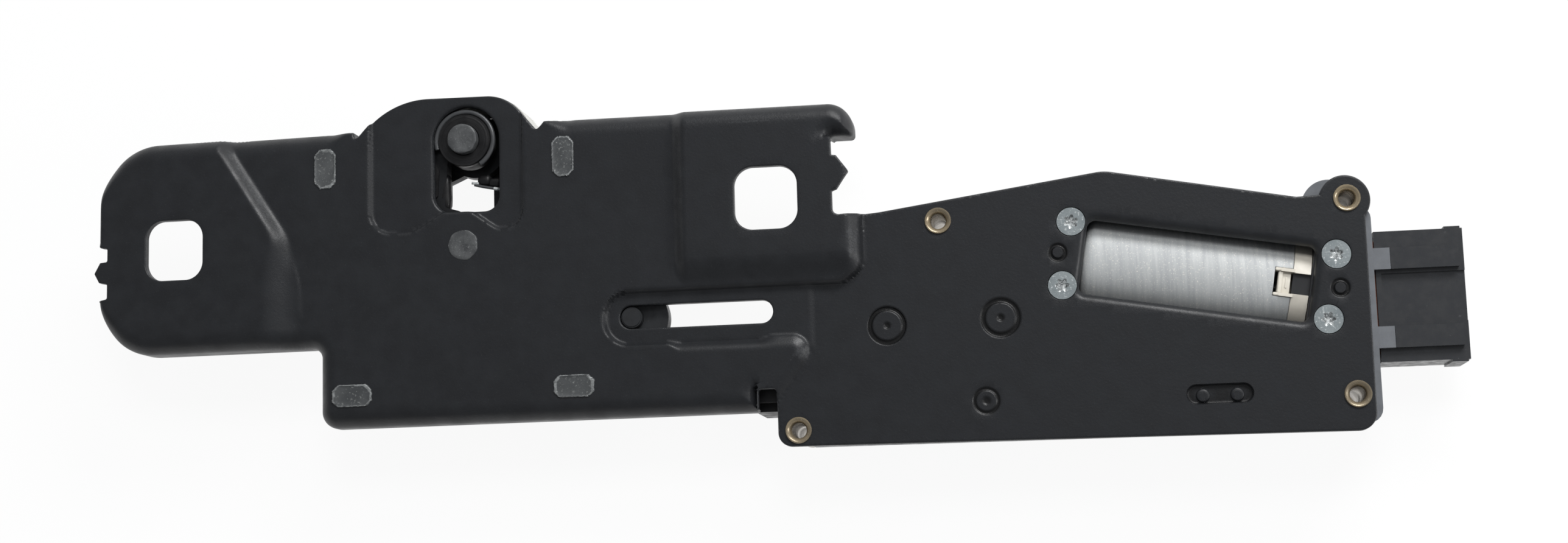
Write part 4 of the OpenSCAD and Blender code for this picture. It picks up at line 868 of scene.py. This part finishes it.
def peened_head(at, r, top, seed, foot=1.2):
    """A rivet head, flattened by peening, with an uneven rim."""
    rng = np.random.default_rng(seed)
    bumps = rng.normal(0, 1, 40)

    def shape(r, z, a, i):
        wave = sum(bumps[k] * math.cos((k + 3) * a + bumps[k + 20]) for k in range(8)) * 0.018
        fall = 0.035 * bumps[(i * 7 + int(a * 6)) % 40] if 1 < i else 0
        return r * (1 + wave * (0.4 if i < 4 else 0)), z + fall * 0.5

    profile = [(r, top - foot), (r, top - 0.35), (r - 0.12, top - 0.12), (r - 0.4, top), (r * 0.75, top - 0.03),
               (r * 0.5, top - 0.07), (r * 0.25, top - 0.05), (0.02, top - 0.06)]
    return turned_part(profile, at, 72, shape, close=True)


# Outline of a tenon's head, the rows of its skin as (share of the outline, height), the place and turn of each, and
# the height from which its rim is painted light, as burr wear and as a painted highlight
TENON_HEAD = [(-3.2, -4.2), (-1.6, -5.85), (1.6, -5.85), (3.2, -4.2), (3.2, 4.2), (1.6, 5.85), (-1.6, 5.85),
              (-3.2, 4.2)]
TENON_ROWS = [(1.03, -0.9), (1.035, 0.12), (1.0, 0.36), (0.94, 0.42), (0.88, 0.30), (0.74, 0.25), (0.58, 0.23),
              (0.42, 0.22), (0.26, 0.22), (0.12, 0.22), (0.03, 0.22)]
TENONS = [((-132.4, 15.9), 0), ((-60.1, 15.9), 0), ((-124.3, -52.1), 90), ((-57.8, -51.9), 90)]
TENON_BURR_AND_SHEEN = 0.31


def tenon_head(at, angle, seed):
    """The flattened end of a tenon, with a burred edge and a dished middle."""
    rng = np.random.default_rng(seed)
    rim = spaced(rounded([(x, y, 0.9) for x, y in TENON_HEAD]), 0.5)
    turn = math.radians(angle)
    spin = np.array([[math.cos(turn), -math.sin(turn)], [math.sin(turn), math.cos(turn)]])
    rough = 1 + rng.normal(0, 0.014, len(rim))
    waves = rng.normal(0, 1, 8)
    verts = []
    for share, lift in TENON_ROWS:
        burred = share > 0.9
        for k, p in enumerate(rim):
            q = p * share * (rough[k] if burred else 1.0)
            ripple = 0.02 * (math.sin(waves[0] + 0.9 * q[0]) + math.sin(waves[1] * 3 + 0.7 * q[1])) if lift > 0 else 0
            ripple += rng.normal(0, 0.03) if burred and lift > 0.2 else 0
            q = spin @ q
            verts.append((at[0] + q[0], at[1] + q[1], PLATEAU + lift + ripple))
    n = len(rim)
    return verts, bands(len(TENON_ROWS), n) + [tuple(range(len(verts) - n, len(verts)))]


def screw_lobe(turn):
    """Shape of the six-lobed recess at any row of the profile."""
    def shape(r, z, a, i):
        lobe = 1.72 + 0.36 * math.cos(6 * (a + turn)) - 0.05 * math.cos(12 * (a + turn))
        return lobe * r, z
    return shape


def screw_head(at, turn):
    """A countersunk head down to its recess, with the shank below."""
    top = DRIVE - 0.03
    profile = [(2.0, DRIVE - 16), (2.0, top - 2.1), (3.95, top - 0.35), (4.08, top - 0.14), (4.0, top), (3.1, top),
               (2.2, top - 0.03)]
    lobe = screw_lobe(turn)

    def shape(r, z, a, i):
        return lobe(1.04, z, a, i) if i == len(profile) - 1 else (r, z)

    return turned_part(profile, at, 96, shape)


def screw_recess(at, turn):
    """The recess of the screw, with its lobed wall and rounded floor, in a near-white finish that paints the
    reflections in it.
    """
    top = DRIVE - 0.06
    profile = [(1.05, top), (0.97, top - 0.25), (0.90, top - 1.1), (0.62, top - 1.35), (0.3, top - 1.2),
               (0.02, top - 1.25)]
    return turned_part(profile, at, 96, screw_lobe(turn))


def bush_sleeve(at):
    """A sleeve whose upper end is flared over the sheet like an eyelet."""
    profile = [(2.2, floor_z), (2.98, floor_z), (3.0, DRIVE - 0.4), (3.5, DRIVE - 0.1), (3.76, DRIVE + 0.1),
               (3.8, DRIVE + 0.33), (3.66, DRIVE + 0.56), (3.42, DRIVE + 0.58), (3.1, DRIVE + 0.38),
               (2.75, DRIVE + 0.12), (2.45, DRIVE - 0.25), (2.26, DRIVE - 0.8), (2.2, DRIVE - 1.6), (2.2, floor_z)]
    return turned_part(profile, at, 64)


# The latch


def on_catch(x, y, z):
    """A point given from the catch's axis."""
    return (catch_axis[0] + x, catch_axis[1] + y, z)


def hub_coil():
    """The spring round the catch's hub: a heavy wire just under the sheet."""
    r, wire_r, steps = 8.62, 0.72, 72
    path = []
    for k in range(steps + 1):
        a = math.radians(196 - 253 * k / steps)
        path.append(on_catch(r * math.cos(a), r * math.sin(a), -5.95 + 0.1 * k / steps))
    return joined("hub_coil", [tube(path, wire_r)])


def soft_block(x, y, z, corner, seed):
    """A soft lump between two corners, rounded all round and a little uneven."""
    bm = bmesh.new()
    bmesh.ops.create_cube(bm, size=1.0)
    bmesh.ops.bevel(bm, geom=list(bm.edges), offset=corner, segments=3, profile=0.5, affect="EDGES", clamp_overlap=True)
    rng = np.random.default_rng(seed)
    size = np.array((x[1] - x[0], y[1] - y[0], z[1] - z[0]))
    low = np.array((x[0], y[0], z[0]))
    verts = [tuple(low + (np.array(v.co) + 0.5) * size + rng.normal(0, 0.06, 3)) for v in bm.verts]
    faces = [tuple(v.index for v in f.verts) for f in bm.faces]
    bm.free()
    return verts, faces


def catch_bumpers():
    """The soft bumpers of the catch: one along its arm beside the striker's way, and two lumps on its other jaw."""
    cx, cy = catch_axis
    parts = [soft_block((cx - 9.0, cx - 5.4), (cy - 20.4, cy - 9.0), (-12.7, -8.25), 0.32, 4),
             soft_block((cx + 3.0, cx + 7.0), (cy - 13.6, cy - 10.2), (-12.5, -8.3), 0.30, 6),
             soft_block((cx + 6.2, cx + 10.2), (cy - 14.2, cy - 11.2), (-12.5, -8.3), 0.30, 7)]
    return joined("catch_bumpers", parts, 70)


def spring_leg():
    """The spring's straight leg across the striker's way."""
    path = [on_catch(x, y, -7.65) for x, y in ((11.4, -15.2), (8.5, -14.6), (5.0, -13.9), (2.4, -13.2))]
    return joined("spring_leg", [tube(path, 0.42)])


def leg_tips():
    """The leg's two ends in the near-white finish: painted glints on the spring's leg."""
    return joined("leg_tips", [tube([on_catch(1.6, -12.6, -7.6), on_catch(3.7, -12.9, -7.6)], 0.4),
                               tube([on_catch(8.3, -14.55, -7.6), on_catch(11.2, -15.15, -7.6)], 0.47)])


def hub_lip():
    """The soft collar of the catch's hub, with the fine rings that its moulding leaves."""
    top = RECESS - 0.42
    profile = [(5.0, top - 2.4), (7.75, top - 2.4), (7.85, top - 0.7), (7.6, top - 0.25), (7.1, top - 0.05),
               (6.75, top - 0.02), (6.6, top - 0.22), (6.35, top - 0.22), (6.2, top - 0.02), (5.5, top - 0.04),
               (5.2, top - 0.35), (5.0, top - 0.4)]
    return joined("hub_lip", [turned_part(profile, catch_axis, 96)])


# The motor


def motor_point(s, off, z):
    """A point given along the motor axis, to its upper side and by its height over the axis."""
    xy = on_motor(s, off)
    return (xy[0], xy[1], motor_foot[2] + z)


CAN_NOTCH = 4.2
CAN_NOTCH_STEPS = 8


def can_skin():
    """The drawn can: a rounded front edge, a plain barrel and a notched rear edge."""
    r0 = 2.6
    rows = [(CAN_START, 5.2)]
    rows += [(CAN_START + r0 * (1 - math.sin(a)), CAN_R - r0 * (1 - math.cos(a)))
             for a in np.radians([90, 70, 50, 30, 12, 0])]
    rows += [(s, CAN_R) for s in np.arange(CAN_START + r0 + 3, CAN_END - 6, 4)]
    rows += [(CAN_END - 5.1, CAN_R), (CAN_END - 2.6, CAN_R), (CAN_END - 0.3, CAN_R), (CAN_END, CAN_R - 0.2)]
    half = math.asin(CAN_NOTCH / CAN_R)
    angles = np.concatenate([np.linspace(-half, half, CAN_NOTCH_STEPS + 1),
                             np.linspace(half, 2 * math.pi - half, 89)[1:-1]])
    verts = [motor_point(s, r * math.sin(a), r * math.cos(a)) for a in angles for s, r in rows]
    faces = []
    n = len(rows)
    notch = n - 4
    for k in range(len(angles)):
        j = (k + 1) % len(angles)
        for i in range(n - 1):
            if k >= CAN_NOTCH_STEPS or i < notch:
                faces.append((k * n + i, k * n + i + 1, j * n + i + 1, j * n + i))
    obj = joined("can_skin", [(verts, faces)], 60)
    wall = obj.modifiers.new("sheet_wall", "SOLIDIFY")
    wall.thickness = 1.1 * MM
    wall.offset = -1
    soften(obj, "cut_edge", 0.12, limit_method="ANGLE")
    return obj


def motor_block(s0, s1, o0, o1, z0, z1):
    """A block between two places along the motor's axis, two across it and two heights over it."""
    verts = [motor_point(s, o, z) for z in (z0, z1) for s, o in ((s0, o0), (s1, o0), (s1, o1), (s0, o1))]
    return verts, [(0, 3, 2, 1), (4, 5, 6, 7), (0, 1, 5, 4), (1, 2, 6, 5), (2, 3, 7, 6), (3, 0, 4, 7)]


def cap_keys():
    """The cream parts of the end cap that show in the can's notch."""
    parts = [motor_block(CAN_END + s0, CAN_END + s1, o0, o1, 9.5, top) for s0, s1, o0, o1, top in (
        (-5.0, -0.1, 3.1, 4.05, 13.5), (-5.0, -0.1, -4.05, -3.1, 13.5), (-3.9, -2.7, -3.1, 3.1, 13.1),
        (-2.0, -1.3, -1.6, 1.6, 12.7))]
    obj = joined("cap_keys", parts)
    soften(obj, "moulded_edges", 0.3, 3)
    return obj


def cap_gap():
    """A black block in the end cap's hollow behind its tongue, which paints the shade there."""
    return joined("cap_gap", [motor_block(CAN_END + 0.1, CAN_END + 5.2, -3.2, 3.2, 9.2, 12.4)])


# Stage


def shader_tree(owner, output):
    """The emptied node tree of a material or a world, its output's input, its ray kinds and what is seen directly."""
    owner.use_nodes = True
    tree = owner.node_tree
    tree.nodes.clear()
    out = tree.nodes.new(output)
    rays = tree.nodes.new("ShaderNodeLightPath").outputs
    return tree, out.inputs[0], rays, maths(tree, "MAXIMUM", rays["Is Camera Ray"], rays["Is Transmission Ray"])


def build_floor():
    """A pale floor, white to the camera and to reflections, that still shows the part's shadow."""
    size = 2.0
    z = floor_z * MM - 0.0002
    mesh = bpy.data.meshes.new("floor")
    mesh.from_pydata([(-size, -size, z), (size, -size, z), (size, size, z), (-size, size, z)], [], [(0, 1, 2, 3)])
    floor = add_object(mesh)
    mat = bpy.data.materials.new("pale_floor")
    tree, out, rays, direct = shader_tree(mat, "ShaderNodeOutputMaterial")
    matt = node(tree, "ShaderNodeBsdfDiffuse", {"Color": (0.86, 0.86, 0.86, 1)})
    glow = node(tree, "ShaderNodeEmission", {"Color": (1, 1, 1, 1), "Strength": 1.0})
    share = maths(tree, "MULTIPLY", maths(tree, "MAXIMUM", direct, rays["Is Glossy Ray"]), 0.93)
    mix = node(tree, "ShaderNodeMixShader", {0: share, 1: matt.outputs[0], 2: glow.outputs[0]})
    tree.links.new(mix.outputs[0], out)
    floor.data.materials.append(mat)


def build_world():
    """Soft light from all round, white behind the floor and in reflections of the horizon."""
    world = bpy.data.worlds.new("studio")
    scene.world = world
    tree, out, rays, direct = shader_tree(world, "ShaderNodeOutputWorld")
    soft = node(tree, "ShaderNodeBackground", {"Color": (0.95, 0.97, 1, 1), "Strength": 0.30})
    white = node(tree, "ShaderNodeBackground", {"Color": (1, 1, 1, 1), "Strength": 1.0})
    place = node(tree, "ShaderNodeTexCoord")
    height = node(tree, "ShaderNodeSeparateXYZ", {0: place.outputs["Generated"]})
    low = node(tree, "ShaderNodeMapRange", {"Value": height.outputs["Z"], "From Min": 0.30, "From Max": 0.12})
    shine = maths(tree, "MULTIPLY", rays["Is Glossy Ray"], low.outputs[0])
    seen = maths(tree, "MAXIMUM", direct, shine)
    mix = node(tree, "ShaderNodeMixShader", {0: seen, 1: soft.outputs[0], 2: white.outputs[0]})
    tree.links.new(mix.outputs[0], out)


def lamp(name, at, target, energy, width, height, glossy=True):
    """A rectangular lamp aimed at a target, in metres. It shows in reflections if glossy."""
    data = bpy.data.lights.new(name, "AREA")
    data.shape = "RECTANGLE"
    data.size, data.size_y = width, height
    data.energy = energy
    obj = bpy.data.objects.new(name, data)
    obj.location = at
    obj.rotation_euler = (Vector(target) - Vector(at)).to_track_quat("-Z", "Y").to_euler()
    obj.visible_glossy = glossy
    scene.collection.objects.link(obj)


# The camera: its focal length and the picture's width in pixels, its place in millimetres, and its axes
FOCAL = 3731
PHOTO_WIDTH = 2576
SENSOR = 36
CAMERA_AT = (87.28, -113.77, 639.05)
CAMERA_AXES = ((0.99082, -0.02921, -0.13201), (0.04732, 0.98955, 0.13621), (0.12665, -0.14121, 0.98185))


def build_camera():
    """The camera of the photograph."""
    data = bpy.data.cameras.new("photo_camera")
    data.sensor_width = SENSOR
    data.lens = SENSOR * FOCAL / PHOTO_WIDTH
    data.clip_start = 0.01
    camera = bpy.data.objects.new("photo_camera", data)
    turn = Matrix(CAMERA_AXES).transposed().to_4x4()
    turn.translation = Vector(CAMERA_AT) * MM
    camera.matrix_world = turn
    scene.collection.objects.link(camera)
    scene.camera = camera


def build_stage():
    """A pale floor under the part, soft studio light and the camera."""
    scene.view_settings.view_transform = "Standard"
    build_floor()
    build_world()
    lamp("key_lamp", (0.34, 0.66, 0.56), (-0.02, 0.0, 0.0), 8.2, 0.60, 0.30)
    lamp("side_lamp", (0.95, -0.06, 0.36), (0.02, 0.0, 0.0), 2.4, 0.26, 0.20)
    lamp("over_lamp", (0.15, 0.42, 1.0), (0.05, 0.0, 0.0), 6.0, 0.40, 0.30, False)
    build_camera()


def main():
    """Builds the stage, gives the nodes their finishes and adds the visible pieces."""
    build_stage()
    looks = make_finishes()
    dress_nodes(looks)

    sheet = dressed(sheet_object(), looks["coat"])
    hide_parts("carrier_plate")

    places = [(on_motor(s, o), k * 0.7 + i)
              for i, s in enumerate(SCREW_S) for k, o in enumerate((-SCREW_OFF, SCREW_OFF))]
    screws = joined("screws", [screw_head(at, turn) for at, turn in places])
    dressed(screws, looks["zinc"])
    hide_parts("carrier_screws")
    # The screws' recesses in the near-white finish: painted reflections
    dressed(joined("screw_recesses", [screw_recess(at, turn) for at, turn in places]), looks["recess"])

    sleeves = joined("flared_sleeves", [bush_sleeve(at) for at in bushes])
    dressed(sleeves, looks["sleeve"])
    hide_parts("bush_sleeves")

    heads = joined("tenon_heads", [tenon_head(at, angle, 3 + k) for k, (at, angle) in enumerate(TENONS)])
    dressed(heads, looks["tenon"])
    # The tenons' rims above this height take the light tone: burr wear, and a painted highlight
    paint(heads.data, "edge_wear_and_sheen", [v.co.z / MM > PLATEAU + TENON_BURR_AND_SHEEN for v in heads.data.vertices])
    rivets = joined("rivet_heads", [peened_head(catch_axis, 4.45, RECESS + 2.1, 5, 2.9),
                                    peened_head(pawl_axis, 4.5, PLATEAU + 0.24, 8)])
    dressed(rivets, looks["peened"])

    coil = dressed(hub_coil(), looks["spring"])
    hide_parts("catch_spring")
    dressed(catch_bumpers(), looks["rubber"], "catch")
    dressed(hub_lip(), looks["rubber"], "catch")
    dressed(spring_leg(), looks["spring"])
    # Painted glints on the spring leg's ends
    dressed(leg_tips(), looks["recess"])

    can = dressed(can_skin(), looks["can"])
    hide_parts("motor_can")
    dressed(cap_keys(), looks["cream"])
    # A black block as painted shade in the end cap's hollow
    dressed(cap_gap(), looks["black"])


main()
